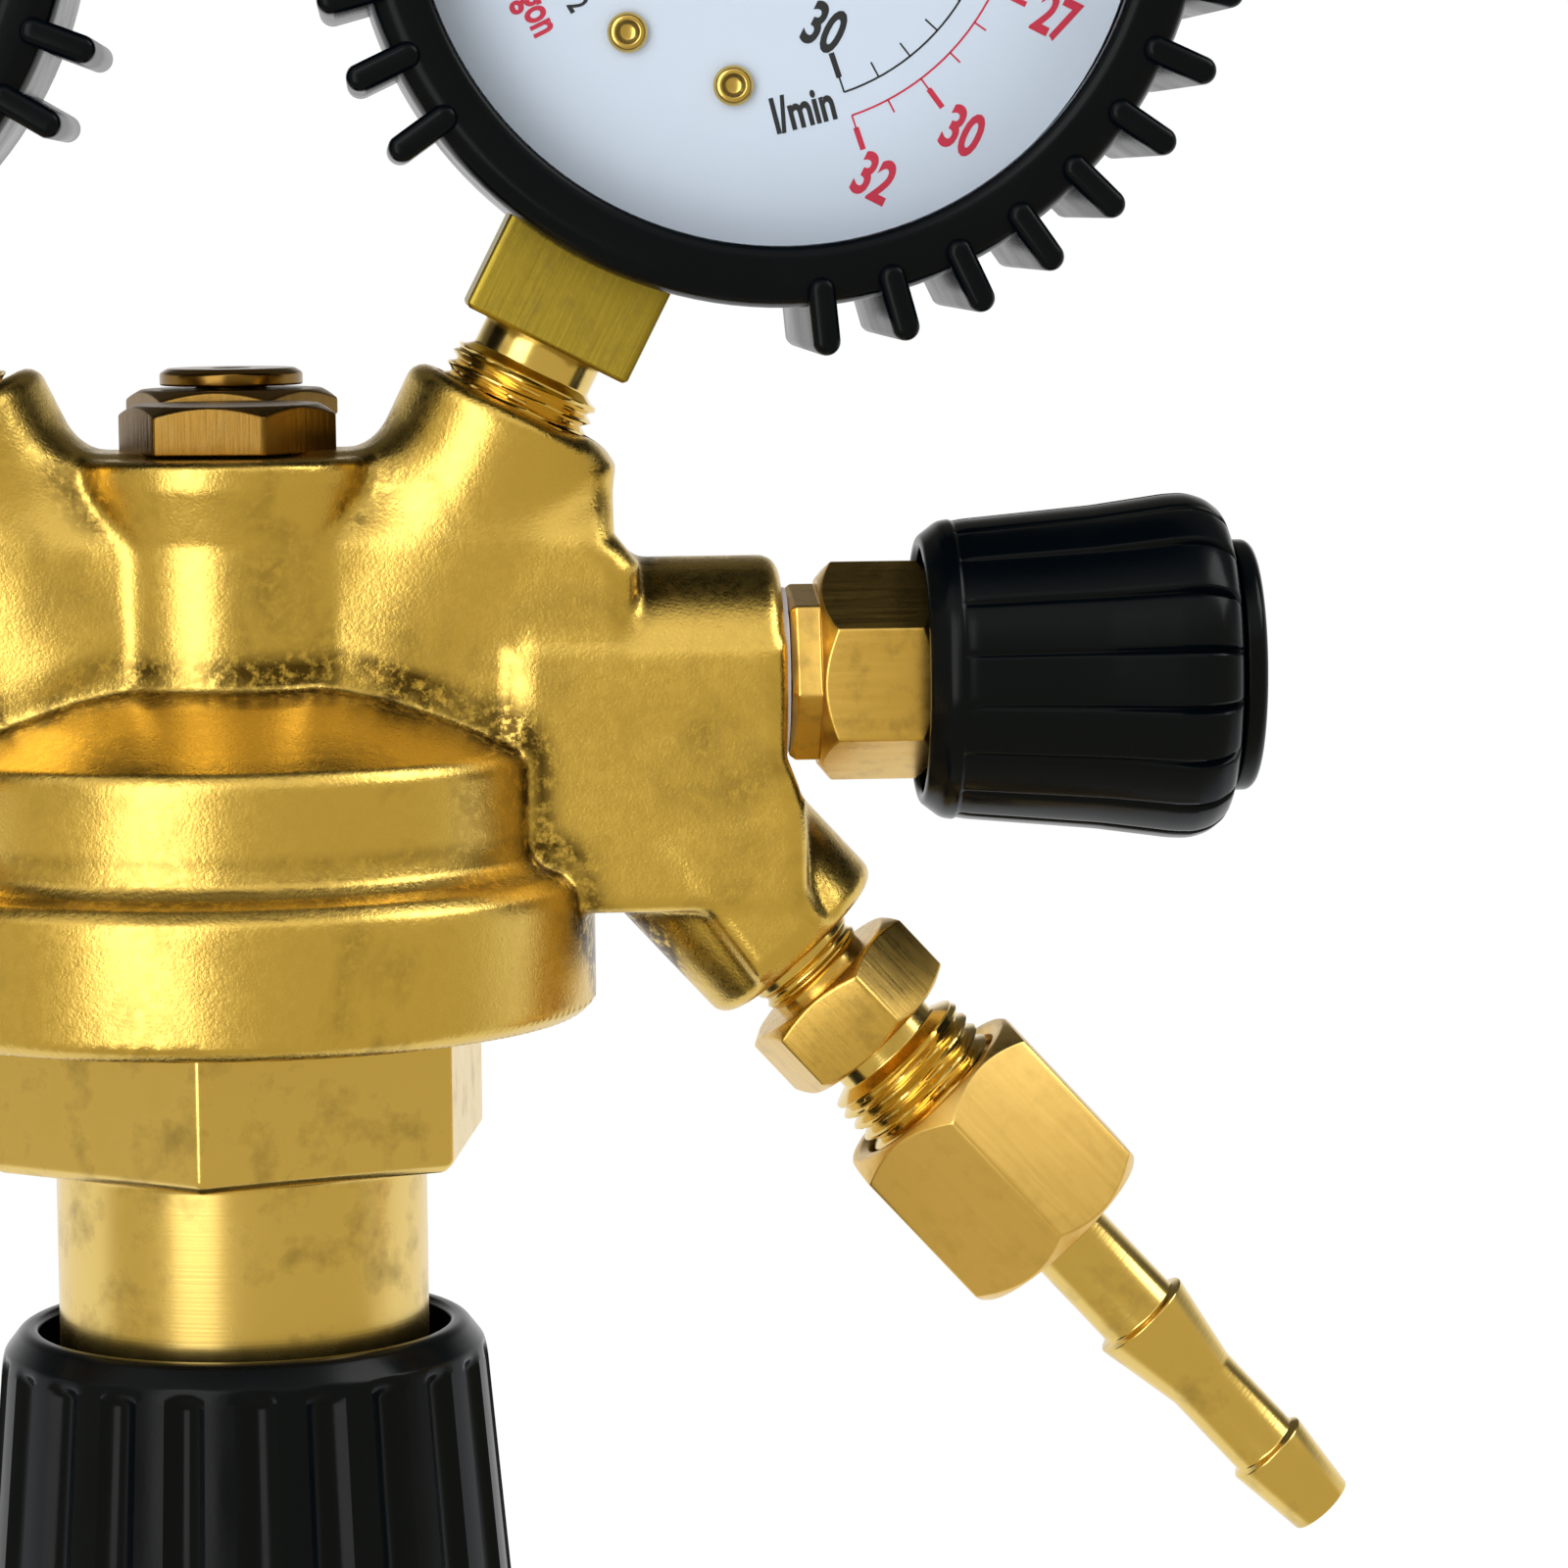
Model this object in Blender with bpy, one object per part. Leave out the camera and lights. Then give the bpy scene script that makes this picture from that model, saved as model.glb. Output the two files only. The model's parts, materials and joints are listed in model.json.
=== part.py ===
"""Flowmeter regulator: a forged brass pressure regulator with two gauges, a needle valve and a hose tail.

The origin is the centre of the inlet seal's face, with the inlet axis along X. The body's upright axis
stands INLET_REACH further along +X, the gauges stand up (+Z) and their dials face the front (-Y).
Sizes are in millimetres and angles in degrees; every mesh is turned into metres as it is made.
"""
import math

import bmesh
import bpy
from mathutils import Matrix, Vector

MM = 0.001

# Clearance between pieces that seat on or screw into each other, and round a sliding piece
GAP = 0.3
RUNNING_GAP = 0.4

# Forged body
INLET_REACH = 75.0
ARM_RADIUS = 9.4
ARM_LENGTH = 43.6
ARM_ROUNDING = 1.6
WEB_THICKNESS = 10.0
WEB_ROUNDING = 2.4
COLUMN_RADIUS = 7.0
TOP_BOSS_RADIUS = 9.5
TOP_BOSS_HEIGHT = 17.9
TOP_BOSS_FLARE = 5.0
PAD_WIDTH = 23.5
PAD_DROP = 19.4
PAD_THICKNESS = 17.0
PAD_ROUNDING = 3.2
PAD_SETBACK = 0.9
CHAMBER_DROP = 5.8
CHAMBER_CROWN = 5.0
RING_RADIUS = 23.0
RING_HEIGHT = 7.8
SHOULDER_HEIGHT = 1.8
DISC_RADIUS = 28.6
DISC_HEIGHT = 11.2
EDGE_ROUNDING = 0.9

# Gas ways drilled in the body
PASSAGE_RADIUS = 1.3
FLOW_WAY_RADIUS = 1.8
GAUGE_PORT_RADIUS = 1.0
VALVE_CHAMBER_RADIUS = 5.0
LOW_CHAMBER_HEIGHT = 5.5
CLAMP_WIDTH = 4.5

# Gauge bosses: both axes cross the upright axis at one point below the arms
GAUGE_TILT = 27.0
GAUGE_AXES_DROP = 22.8
GAUGE_BOSS_REACH = 49.1
GAUGE_BOSS_RADIUS = 8.6
GAUGE_THREAD_RADIUS = 6.4
GAUGE_THREAD_DEPTH = 7.0

# Gauges, from the dial's centre on the stem's plane
GAUGE_CASE_RADIUS = 30.0
GAUGE_CASE_DEPTH = 23.0
CASE_WALL = 1.0
BOOT_WALL = 2.7
BOOT_RIB_HEIGHT = 3.8
BOOT_RIB_WIDTH = 2.2
BOOT_RIB_PITCH = 10.0
BOOT_FREE_ARC = 56.0
BOOT_TURN = 2.0
BOOT_LIP = 2.1
BOOT_LIP_THICKNESS = 2.0
BOOT_RIDGE = 0.8
WINDOW_THICKNESS = 0.9
DIAL_THICKNESS = 0.6
DIAL_DEPTH = 4.5
DIAL_SCREW_CIRCLE = 16.7
DIAL_SCREW_ANGLE = 16.0
DIAL_SCREW_RADIUS = 0.8
DIAL_SCREW_DEPTH = 3.0
DIAL_SCREW_HEAD_RADIUS = 1.7
DIAL_SCREW_HEAD_HEIGHT = 0.9
POINTER_LENGTH = 21.0
POINTER_TAIL = 7.0
POINTER_WIDTH = 2.2
BLADE_THICKNESS = 0.4
POINTER_REST = 135.0
ARBOR_RADIUS = 0.8
HUB_RADIUS = 2.4
SOCKET_WIDTH = 14.0
SOCKET_SHANK_WIDTH = 12.0
SOCKET_BLOCK_LENGTH = 10.9
SOCKET_NECK_RADIUS = 4.95
SOCKET_NECK_LENGTH = 2.8
SOCKET_THREAD_SHOWN = 3.4
BOURDON_RADIUS = 17.0
BOURDON_WIDTH = 6.0
BOURDON_THICKNESS = 2.4
BOURDON_SWEEP = 250.0
MOVEMENT_SIZE = 10.0

# Diaphragm, bonnet and adjusting spring
BONNET_THREAD_RADIUS = 25.0
BONNET_INSERT = 6.2
BONNET_FLATS = 36.6
BONNET_HEX_HEIGHT = 11.0
BONNET_TURN = 22.6
BARREL_RADIUS = 14.8
BARREL_LENGTH = 28.0
BARREL_WALL = 3.3
BARREL_FLOOR = 6.0
DIAPHRAGM_THICKNESS = 1.0
SLIP_RING_THICKNESS = 1.0
PLATE_RADIUS = 10.8
PLATE_THICKNESS = 2.0
PUSHER_RADIUS = 6.0
PUSHER_THICKNESS = 1.3
SPRING_WIRE = 2.6
SPRING_RADIUS = 8.4
SPRING_TURNS = 6.0
SEAT_BOSS_RADIUS = 6.0
SEAT_BOSS_HEIGHT = 3.0
BUTTON_THICKNESS = 3.0

# High-pressure valve under the top plug
NOZZLE_RADIUS = 3.7
NOZZLE_LENGTH = 8.0
NOZZLE_BORE = 1.2
NOZZLE_FLANGE = 1.7
POPPET_RADIUS = 3.2
POPPET_HEIGHT = 4.0
PIN_RADIUS = 0.8
POPPET_WIRE = 0.7
PLUG_FLATS = 15.2
PLUG_HEX_HEIGHT = 3.8
PLUG_THREAD_LENGTH = 7.0
PLUG_WALL = 1.3
PLUG_TURN = -9.4

# Adjusting screw and its knob
SCREW_RADIUS = 5.0
ADJUST_TRAVEL = 6.0
KNOB_DROP = 13.7
KNOB_LENGTH = 41.0
KNOB_RIM_RADIUS = 17.9
KNOB_START_RADIUS = 19.1
KNOB_RADIUS = 22.4
KNOB_FLUTES = 22
KNOB_SKIRT_BORE = 16.4
KNOB_RECESS_RADIUS = 13.0
KNOB_CAP_RADIUS = 16.3
KNOB_HUB_DEPTH = 11.0

# Flow valve on the right arm
GASKET_THICKNESS = 0.6
GASKET_RADIUS = 6.8
VALVE_COLLAR_FLATS = 12.7
VALVE_COLLAR_LENGTH = 2.5
VALVE_HEX_FLATS = 15.4
VALVE_HEX_LENGTH = 8.5
VALVE_TURN = 3.8
VALVE_THREAD_RADIUS = 5.4
VALVE_THREAD_LENGTH = 9.0
STEM_RADIUS = 2.0
STEM_COLLAR_RADIUS = 3.2
SEAT_PAD_RADIUS = 2.8
SEAT_PAD_LENGTH = 2.2
VALVE_SEAT_REACH = 25.5
PACKING_LENGTH = 2.4
PACKING_WALL = 1.3
FLOW_TRAVEL = 3.0
FLOW_KNOB_OVERLAP = 1.0
FLOW_KNOB_LENGTH = 24.8
FLOW_KNOB_RIM_RADIUS = 11.0
FLOW_KNOB_START_RADIUS = 11.8
FLOW_KNOB_RADIUS = 13.95
FLOW_KNOB_FLUTES = 18
FLOW_KNOB_RECESS_RADIUS = 8.0
FLOW_KNOB_CAP_RADIUS = 10.1
FLOW_KNOB_HUB_DEPTH = 12.0
CAP_THICKNESS = 1.8
CAP_RECESS_DEPTH = 4.6

# Outlet boss, its adaptor, nut and hose tail, along the outlet axis
OUTLET_ANGLE = 47.5
OUTLET_OVERHANG = 1.0
OUTLET_DROP = 22.4
OUTLET_BOSS_RADIUS = 8.2
OUTLET_BOSS_LENGTH = 26.0
OUTLET_DRILL_DEPTH = 28.0
ADAPTOR_THREAD_RADIUS = 4.7
ADAPTOR_THREAD_LENGTH = 7.0
ADAPTOR_NECK_LENGTH = 3.1
ADAPTOR_TURN = -16.0
ADAPTOR_FLATS = 14.0
ADAPTOR_HEX_LENGTH = 6.5
UNION_THREAD_RADIUS = 6.5
UNION_NECK_LENGTH = 2.2
UNION_THREAD_SHOWN = 4.1
UNION_THREAD_INSIDE = 6.5
NUT_FLATS = 17.0
NUT_LENGTH = 15.7
NUT_LIP = 3.4
TAIL_FLANGE_RADIUS = 6.0
TAIL_FLANGE_LENGTH = 4.6
TAIL_RADIUS = 3.5
TAIL_BORE = 1.8
TAIL_TUBE_LENGTH = 9.9
BARB_RADIUS = 4.3
BARB_LENGTH = 7.3
TIP_RADIUS = 2.95
TIP_LENGTH = 7.8
TIP_BARB_RADIUS = 3.5
TIP_BARB_LENGTH = 6.9
TIP_END_RADIUS = 2.75

# Relief valve on the boss behind the top plug
RELIEF_BOSS_RADIUS = 6.8
RELIEF_BOSS_HEIGHT = 19.5
RELIEF_FLATS = 15.3
RELIEF_HEX_HEIGHT = 2.9
RELIEF_THREAD_RADIUS = 4.6
RELIEF_THREAD_LENGTH = 8.0
RELIEF_BORE = 3.2
RELIEF_FLOOR = 2.0
RELIEF_DISC_THICKNESS = 1.7
RELIEF_WIRE = 0.7
RELIEF_CAP_RADIUS = 5.85
RELIEF_CAP_THICKNESS = 1.4
RELIEF_SPIGOT = 1.6

# Inlet nipple, cylinder nut, seal and filter
NIPPLE_THREAD_RADIUS = 6.2
NIPPLE_THREAD_LENGTH = 9.0
NIPPLE_HEX_FLATS = 17.0
NIPPLE_HEX_LENGTH = 6.0
NIPPLE_NECK_RADIUS = 6.6
NIPPLE_HEAD_RADIUS = 9.8
NIPPLE_HEAD_LENGTH = 4.0
NIPPLE_NOSE_RADIUS = 6.6
NIPPLE_NOSE_LENGTH = 6.0
SEAL_THICKNESS = 2.0
FILTER_RADIUS = 2.7
FILTER_LENGTH = 7.0
INLET_NUT_FLATS = 30.0
INLET_NUT_LENGTH = 24.0
INLET_NUT_BORE = 10.9
INLET_NUT_MOUTH = 8.5

# Heights and reaches that follow from them, in the body's frame
RING_TOP = -CHAMBER_DROP
RING_BOTTOM = RING_TOP-RING_HEIGHT
DISC_TOP = RING_BOTTOM-SHOULDER_HEIGHT
DISC_BOTTOM = DISC_TOP-DISC_HEIGHT
BONNET_TOP = DISC_BOTTOM+BONNET_INSERT
DIAPHRAGM_SEAT = BONNET_TOP+3*GAP+SLIP_RING_THICKNESS+DIAPHRAGM_THICKNESS
LOW_CHAMBER_TOP = DIAPHRAGM_SEAT+LOW_CHAMBER_HEIGHT
LOW_CHAMBER_RADIUS = BONNET_THREAD_RADIUS-CLAMP_WIDTH
DIAPHRAGM_TOP = DIAPHRAGM_SEAT-GAP
DIAPHRAGM_BOTTOM = DIAPHRAGM_TOP-DIAPHRAGM_THICKNESS
PLATE_TOP = DIAPHRAGM_BOTTOM-GAP
PLATE_BOTTOM = PLATE_TOP-PLATE_THICKNESS
HEX_BOTTOM = DISC_BOTTOM-GAP-BONNET_HEX_HEIGHT
BARREL_BOTTOM = HEX_BOTTOM-BARREL_LENGTH
BARREL_BORE = BARREL_RADIUS-BARREL_WALL
BARREL_FLOOR_TOP = BARREL_BOTTOM+BARREL_FLOOR
BUTTON_BOTTOM = BARREL_FLOOR_TOP+GAP
BUTTON_TOP = BUTTON_BOTTOM+BUTTON_THICKNESS
KNOB_RIM = HEX_BOTTOM-KNOB_DROP
KNOB_FLOOR_DEPTH = KNOB_RIM-BARREL_BOTTOM+ADJUST_TRAVEL+1.0
NOZZLE_SEAT = TOP_BOSS_HEIGHT-PLUG_THREAD_LENGTH-9.0
POPPET_BOTTOM = NOZZLE_SEAT+GAP+NOZZLE_FLANGE+GAP
SHANK_END = GAUGE_CASE_RADIUS-CASE_WALL+GAP
GAUGE_THREAD_START = SHANK_END+SOCKET_BLOCK_LENGTH+SOCKET_NECK_LENGTH
GAUGE_REACH = GAUGE_BOSS_REACH+GAUGE_THREAD_START+SOCKET_THREAD_SHOWN
CASE_FRONT = GAUGE_CASE_DEPTH/2
WINDOW_BACK = CASE_FRONT+GAP
BOOT_LIP_BACK = WINDOW_BACK+WINDOW_THICKNESS+GAP
BOOT_FRONT = BOOT_LIP_BACK+BOOT_LIP_THICKNESS
BOOT_BORE = GAUGE_CASE_RADIUS+GAP
BOOT_RADIUS = BOOT_BORE+BOOT_WALL
DIAL_FRONT = CASE_FRONT-DIAL_DEPTH
DIAL_BACK = DIAL_FRONT-DIAL_THICKNESS
VALVE_FACE = ARM_LENGTH+2*GAP+GASKET_THICKNESS
VALVE_HEX_END = VALVE_FACE+VALVE_COLLAR_LENGTH+VALVE_HEX_LENGTH
FLOW_KNOB_RIM = VALVE_HEX_END-FLOW_KNOB_OVERLAP
RELIEF_SETBACK = (PLUG_FLATS+RELIEF_FLATS)/2+2*RUNNING_GAP
RELIEF_HEX_BOTTOM = RELIEF_BOSS_HEIGHT+GAP
RELIEF_HEX_TOP = RELIEF_HEX_BOTTOM+RELIEF_HEX_HEIGHT
OUTLET_X = ARM_LENGTH+OUTLET_OVERHANG


# Material builders

def finish(name, colour, roughness, metallic):
    """A Principled material with one base colour (linear RGB)."""
    material = bpy.data.materials.new(name)
    material.use_nodes = True
    shader = material.node_tree.nodes["Principled BSDF"]
    shader.inputs["Base Color"].default_value = (*colour, 1.0)
    shader.inputs["Roughness"].default_value = roughness
    shader.inputs["Metallic"].default_value = metallic
    return material


def make_finishes():
    """The finishes that the pieces share, by plain name."""
    return {
        "forged_brass": finish("forged_brass", (0.62, 0.42, 0.14), 0.42, 1.0),
        "turned_brass": finish("turned_brass", (0.72, 0.48, 0.16), 0.25, 1.0),
        "steel": finish("steel", (0.5, 0.5, 0.5), 0.35, 1.0),
        "black_plastic": finish("black_plastic", (0.02, 0.021, 0.023), 0.25, 0.0),
        "black_rubber": finish("black_rubber", (0.015, 0.015, 0.016), 0.4, 0.0),
        "seal_rubber": finish("seal_rubber", (0.03, 0.03, 0.03), 0.6, 0.0),
        "white_nylon": finish("white_nylon", (0.8, 0.8, 0.78), 0.5, 0.0),
        "dial_enamel": finish("dial_enamel", (0.62, 0.68, 0.76), 0.5, 0.0),
        "pointer_black": finish("pointer_black", (0.02, 0.02, 0.02), 0.5, 0.0),
        "window_clear": finish("window_clear", (0.9, 0.93, 0.95), 0.05, 0.0),
    }


# Point loops

def circle(radius, z, count, turn=0.0):
    """A circle of count points at height z, starting turn degrees round from +X."""
    start = math.radians(turn)
    step = 2*math.pi/count
    return [(radius*math.cos(start+step*i), radius*math.sin(start+step*i), z) for i in range(count)]


def polygon(sides, flats, z, count, turn=0.0, limit=None):
    """A regular polygon with a corner at turn degrees, cut off by a circle of the limit radius."""
    start = math.radians(turn)
    step = 2*math.pi/count
    sector = 2*math.pi/sides
    points = []
    for i in range(count):
        from_flat = (step*i) % sector-sector/2
        radius = flats/2/math.cos(from_flat)
        if limit:
            radius = min(radius, limit)
        points.append((radius*math.cos(start+step*i), radius*math.sin(start+step*i), z))
    return points


def chamfered_hex(flats, low, high, count, low_cut=True, high_cut=True, turn=0.0):
    """The rings of a hexagon from low to high, with turned chamfers at the ends that are cut."""
    depth = 0.07*flats
    rings = []
    if low_cut:
        rings.append(polygon(6, flats, low, count, turn, flats/2))
        rings.append(polygon(6, flats, low+depth, count, turn))
    else:
        rings.append(polygon(6, flats, low, count, turn))
    if high_cut:
        rings.append(polygon(6, flats, high-depth, count, turn))
        rings.append(polygon(6, flats, high, count, turn, flats/2))
    else:
        rings.append(polygon(6, flats, high, count, turn))
    return rings


# Meshes

def join_loops(mesh, first, second):
    """Faces between two loops; where one has several times the points, each edge of the other takes a fan."""
    if len(first) < len(second):
        first, second = second, first
    share = len(first)//len(second)
    for j in range(len(second)):
        edge = [second[j], second[(j+1) % len(second)]]
        fan = [first[(share*(j+1)-i) % len(first)] for i in range(share+1)]
        mesh.faces.new(edge+fan)


def loft(rings, shut=False):
    """A skin over rings of points: shut like a tyre, or with a flat cap on its first and last ring."""
    mesh = bmesh.new()
    loops = [[mesh.verts.new(Vector(point)*MM) for point in ring] for ring in rings]
    for first, second in zip(loops, loops[1:]):
        join_loops(mesh, first, second)
    if shut:
        join_loops(mesh, loops[-1], loops[0])
    else:
        mesh.faces.new(loops[0])
        mesh.faces.new(loops[-1])
    bmesh.ops.recalc_face_normals(mesh, faces=mesh.faces)
    return mesh


def turned(profile, count=28, shut=False):
    """A profile of (radius, height) points spun round the Z axis."""
    mesh = bmesh.new()
    points = [mesh.verts.new((radius*MM, 0.0, height*MM)) for radius, height in profile]
    edges = [mesh.edges.new(pair) for pair in zip(points, points[1:])]
    if shut:
        edges.append(mesh.edges.new((points[-1], points[0])))
    bmesh.ops.spin(mesh, geom=points+edges, cent=(0, 0, 0), axis=(0, 0, 1),
                   angle=2*math.pi, steps=count, use_merge=True)
    bmesh.ops.remove_doubles(mesh, verts=mesh.verts, dist=0.001*MM)
    bmesh.ops.recalc_face_normals(mesh, faces=mesh.faces)
    return mesh


def slab(outline, low, high, rounding=0.0, segments=2):
    """An outline of (x, y) points extruded from low to high, with rounded rims."""
    mesh = bmesh.new()
    base = mesh.faces.new([mesh.verts.new((x*MM, y*MM, low*MM)) for x, y in outline])
    grown = bmesh.ops.extrude_face_region(mesh, geom=[base])
    top = [item for item in grown["geom"] if isinstance(item, bmesh.types.BMVert)]
    bmesh.ops.translate(mesh, verts=top, vec=(0, 0, (high-low)*MM))
    bmesh.ops.recalc_face_normals(mesh, faces=mesh.faces)
    if rounding:
        levels = (low*MM, high*MM)
        rims = [edge for edge in mesh.edges
                if any(all(abs(v.co.z-level) < 1e-9 for v in edge.verts) for level in levels)]
        bmesh.ops.bevel(mesh, geom=rims, offset=rounding*MM, segments=segments, profile=0.5,
                        affect="EDGES", clamp_overlap=True)
    return mesh


def rounded_outline(corners, radius, steps=3):
    """A polygon's (x, y) corners, each cut back by radius and replaced by an arc-like curve."""
    points = []
    for i, corner in enumerate(corners):
        here = Vector(corner)
        before = (Vector(corners[i-1])-here).normalized()*radius
        after = (Vector(corners[(i+1) % len(corners)])-here).normalized()*radius
        for step in range(steps+1):
            t = step/steps
            points.append(tuple(here+before*(1-t)**2+after*t**2))
    return points


def coil(radius, wire, low, high, turns, sides=4, steps=8):
    """A round-wire spring standing on Z from low to high, with its end turns closed."""
    rings = []
    count = int(turns*steps)
    climb = high-low-wire
    for i in range(count+1):
        t = i/count
        angle = 2*math.pi*turns*t
        ease = t-0.9*math.sin(2*math.pi*t)/(2*math.pi)
        height = low+wire/2+climb*ease
        outward = Vector((math.cos(angle), math.sin(angle), 0))
        centre = outward*radius+Vector((0, 0, height))
        rings.append([tuple(centre+outward*(wire/2*math.cos(a))+Vector((0, 0, wire/2*math.sin(a))))
                      for a in (2*math.pi*k/sides for k in range(sides))])
    return loft(rings)


# Objects

def empty(name, place, parent=None):
    """A named frame for the pieces that hang on it."""
    frame = bpy.data.objects.new(name, None)
    frame.empty_display_size = 0.01
    bpy.context.collection.objects.link(frame)
    frame.parent = parent
    frame.matrix_basis = place
    return frame


def add(name, mesh, material, parent, place=Matrix.Identity(4)):
    """Makes a named piece from a mesh, on its parent's frame."""
    data = bpy.data.meshes.new(name)
    mesh.to_mesh(data)
    mesh.free()
    data.materials.append(material)
    piece = bpy.data.objects.new(name, data)
    bpy.context.collection.objects.link(piece)
    piece.parent = parent
    piece.matrix_basis = place
    smooth(piece)
    return piece


def smooth(piece):
    """Smooth shading with sharp edges kept."""
    piece.data.shade_smooth()
    piece.data.set_sharp_from_angle(angle=math.radians(32))


def combine(piece, tools, operation):
    """Unites the piece with tool pieces, or cuts them out of it, by the exact Boolean."""
    for tool in tools:
        modifier = piece.modifiers.new(operation.lower(), "BOOLEAN")
        modifier.operation = operation
        modifier.solver = "EXACT"
        modifier.object = tool
        bpy.context.view_layer.update()
        shaped = piece.evaluated_get(bpy.context.evaluated_depsgraph_get())
        old = piece.data
        piece.data = bpy.data.meshes.new_from_object(shaped)
        piece.modifiers.clear()
        bpy.data.meshes.remove(old)
        bpy.data.objects.remove(tool)
        weld(piece.data)
    piece.data.name = piece.name
    smooth(piece)


def weld(data):
    """Merges the points that a Boolean leaves on top of each other."""
    mesh = bmesh.new()
    mesh.from_mesh(data)
    bmesh.ops.remove_doubles(mesh, verts=mesh.verts, dist=0.002*MM)
    bmesh.ops.dissolve_degenerate(mesh, edges=mesh.edges, dist=0.001*MM)
    bmesh.ops.dissolve_limit(mesh, angle_limit=math.radians(0.5), verts=mesh.verts, edges=mesh.edges)
    mesh.to_mesh(data)
    mesh.free()


def shift(x=0.0, y=0.0, z=0.0):
    """A move in millimetres."""
    return Matrix.Translation(Vector((x, y, z))*MM)


def turn_about(axis, degrees):
    """A turn about X, Y or Z."""
    return Matrix.Rotation(math.radians(degrees), 4, axis)


# Places in the body's frame: the local Z axis runs along the piece, local X is the side named

def along_inlet():
    """Local Z runs out of the left arm, towards -X, and local X stands up."""
    return turn_about("Y", -90)


def along_valve():
    """Local Z runs out of the right arm, towards +X, and local X points up."""
    return turn_about("Y", 90) @ turn_about("Z", 180+VALVE_TURN)


def along_outlet():
    """Local Z runs out of the outlet boss from its face, and local X faces the front."""
    return shift(OUTLET_X, 0, -OUTLET_DROP) @ turn_about("Y", 90+OUTLET_ANGLE) @ turn_about("Z", -90)


def along_gauge(side):
    """Local Z runs up the gauge's axis from where the two axes cross; side is +1 right and -1 left."""
    return shift(0, 0, -GAUGE_AXES_DROP) @ turn_about("Y", side*GAUGE_TILT)


def on_relief(z=0.0):
    """The upright axis of the relief valve, behind the top plug."""
    return shift(0, RELIEF_SETBACK, z)


# Forged body

def upright_core():
    """Central column, flared top boss, and the chamber's crown, ring and disc in one turned shape."""
    flare = TOP_BOSS_HEIGHT-TOP_BOSS_FLARE
    crown = RING_TOP+CHAMBER_CROWN
    return turned([
        (0, TOP_BOSS_HEIGHT), (TOP_BOSS_RADIUS-EDGE_ROUNDING, TOP_BOSS_HEIGHT),
        (TOP_BOSS_RADIUS, TOP_BOSS_HEIGHT-EDGE_ROUNDING), (TOP_BOSS_RADIUS, flare+2*EDGE_ROUNDING),
        (COLUMN_RADIUS, flare-TOP_BOSS_FLARE), (COLUMN_RADIUS, crown),
        (RING_RADIUS-2*EDGE_ROUNDING, RING_TOP+0.4*EDGE_ROUNDING), (RING_RADIUS, RING_TOP-EDGE_ROUNDING),
        (RING_RADIUS, RING_BOTTOM), (DISC_RADIUS-2*EDGE_ROUNDING, DISC_TOP+0.3*EDGE_ROUNDING),
        (DISC_RADIUS-0.3, DISC_TOP-EDGE_ROUNDING), (DISC_RADIUS, DISC_BOTTOM+EDGE_ROUNDING),
        (DISC_RADIUS-EDGE_ROUNDING, DISC_BOTTOM), (0, DISC_BOTTOM)], 32)


def rod(radius, low, high, count=28, rounding=0.0):
    """A round bar on Z with its far rim rounded."""
    rim = [(radius, high)]
    if rounding:
        rim = [(radius, high-rounding), (radius-0.3*rounding, high-0.3*rounding), (radius-rounding, high)]
    return turned([(0, low), (radius, low)]+rim+[(0, high)], count)


def cross_bar():
    """Both arms as one round bar, rounded at its two ends."""
    half = [(ARM_RADIUS, ARM_LENGTH-ARM_ROUNDING), (ARM_RADIUS-0.3*ARM_ROUNDING, ARM_LENGTH-0.3*ARM_ROUNDING),
            (ARM_RADIUS-ARM_ROUNDING, ARM_LENGTH), (0, ARM_LENGTH)]
    return turned([(radius, -z) for radius, z in reversed(half)]+half, 24)


def web_outline():
    """The web between the bosses and arms, in X and Z."""
    tilt = math.radians(GAUGE_TILT)
    reach = GAUGE_BOSS_REACH-4*ARM_ROUNDING
    boss = Vector((math.sin(tilt)*reach, math.cos(tilt)*reach-GAUGE_AXES_DROP))
    across = Vector((math.cos(tilt), -math.sin(tilt)))*(GAUGE_BOSS_RADIUS-WEB_ROUNDING)
    outer = boss+across
    inner = boss-across
    shoulder = outer.x+1.4*WEB_ROUNDING
    foot = shoulder+1.4*WEB_ROUNDING
    half = [(TOP_BOSS_RADIUS, TOP_BOSS_HEIGHT-WEB_ROUNDING/2), tuple(inner), tuple(outer),
            (shoulder, ARM_RADIUS+WEB_ROUNDING/2), (foot, ARM_RADIUS-WEB_ROUNDING/2),
            (foot, RING_TOP-WEB_ROUNDING/2)]
    return half+[(-x, z) for x, z in reversed(half)]


def pad_outline():
    """The deep pad under the right arm, which runs down to the outlet boss's face, in X and Z."""
    angle = math.radians(OUTLET_ANGLE)
    along = Vector((math.cos(angle), -math.sin(angle)))
    across = Vector((math.sin(angle), math.cos(angle)))
    face = Vector((OUTLET_X, -OUTLET_DROP))-along*PAD_SETBACK
    high = face+across*OUTLET_BOSS_RADIUS/8
    low = face-across*OUTLET_BOSS_RADIUS/2
    left = ARM_LENGTH-PAD_WIDTH
    under_gasket = -GASKET_RADIUS-GAP
    right = ARM_LENGTH-GAP
    corners = [(left, 0), (right, 0), (right, under_gasket), (high.x, -PAD_DROP/2), tuple(high), tuple(low),
               (low.x-OUTLET_BOSS_RADIUS/2, -PAD_DROP), (left, -PAD_DROP)]
    return rounded_outline(corners, PAD_ROUNDING/2, 1)


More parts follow.
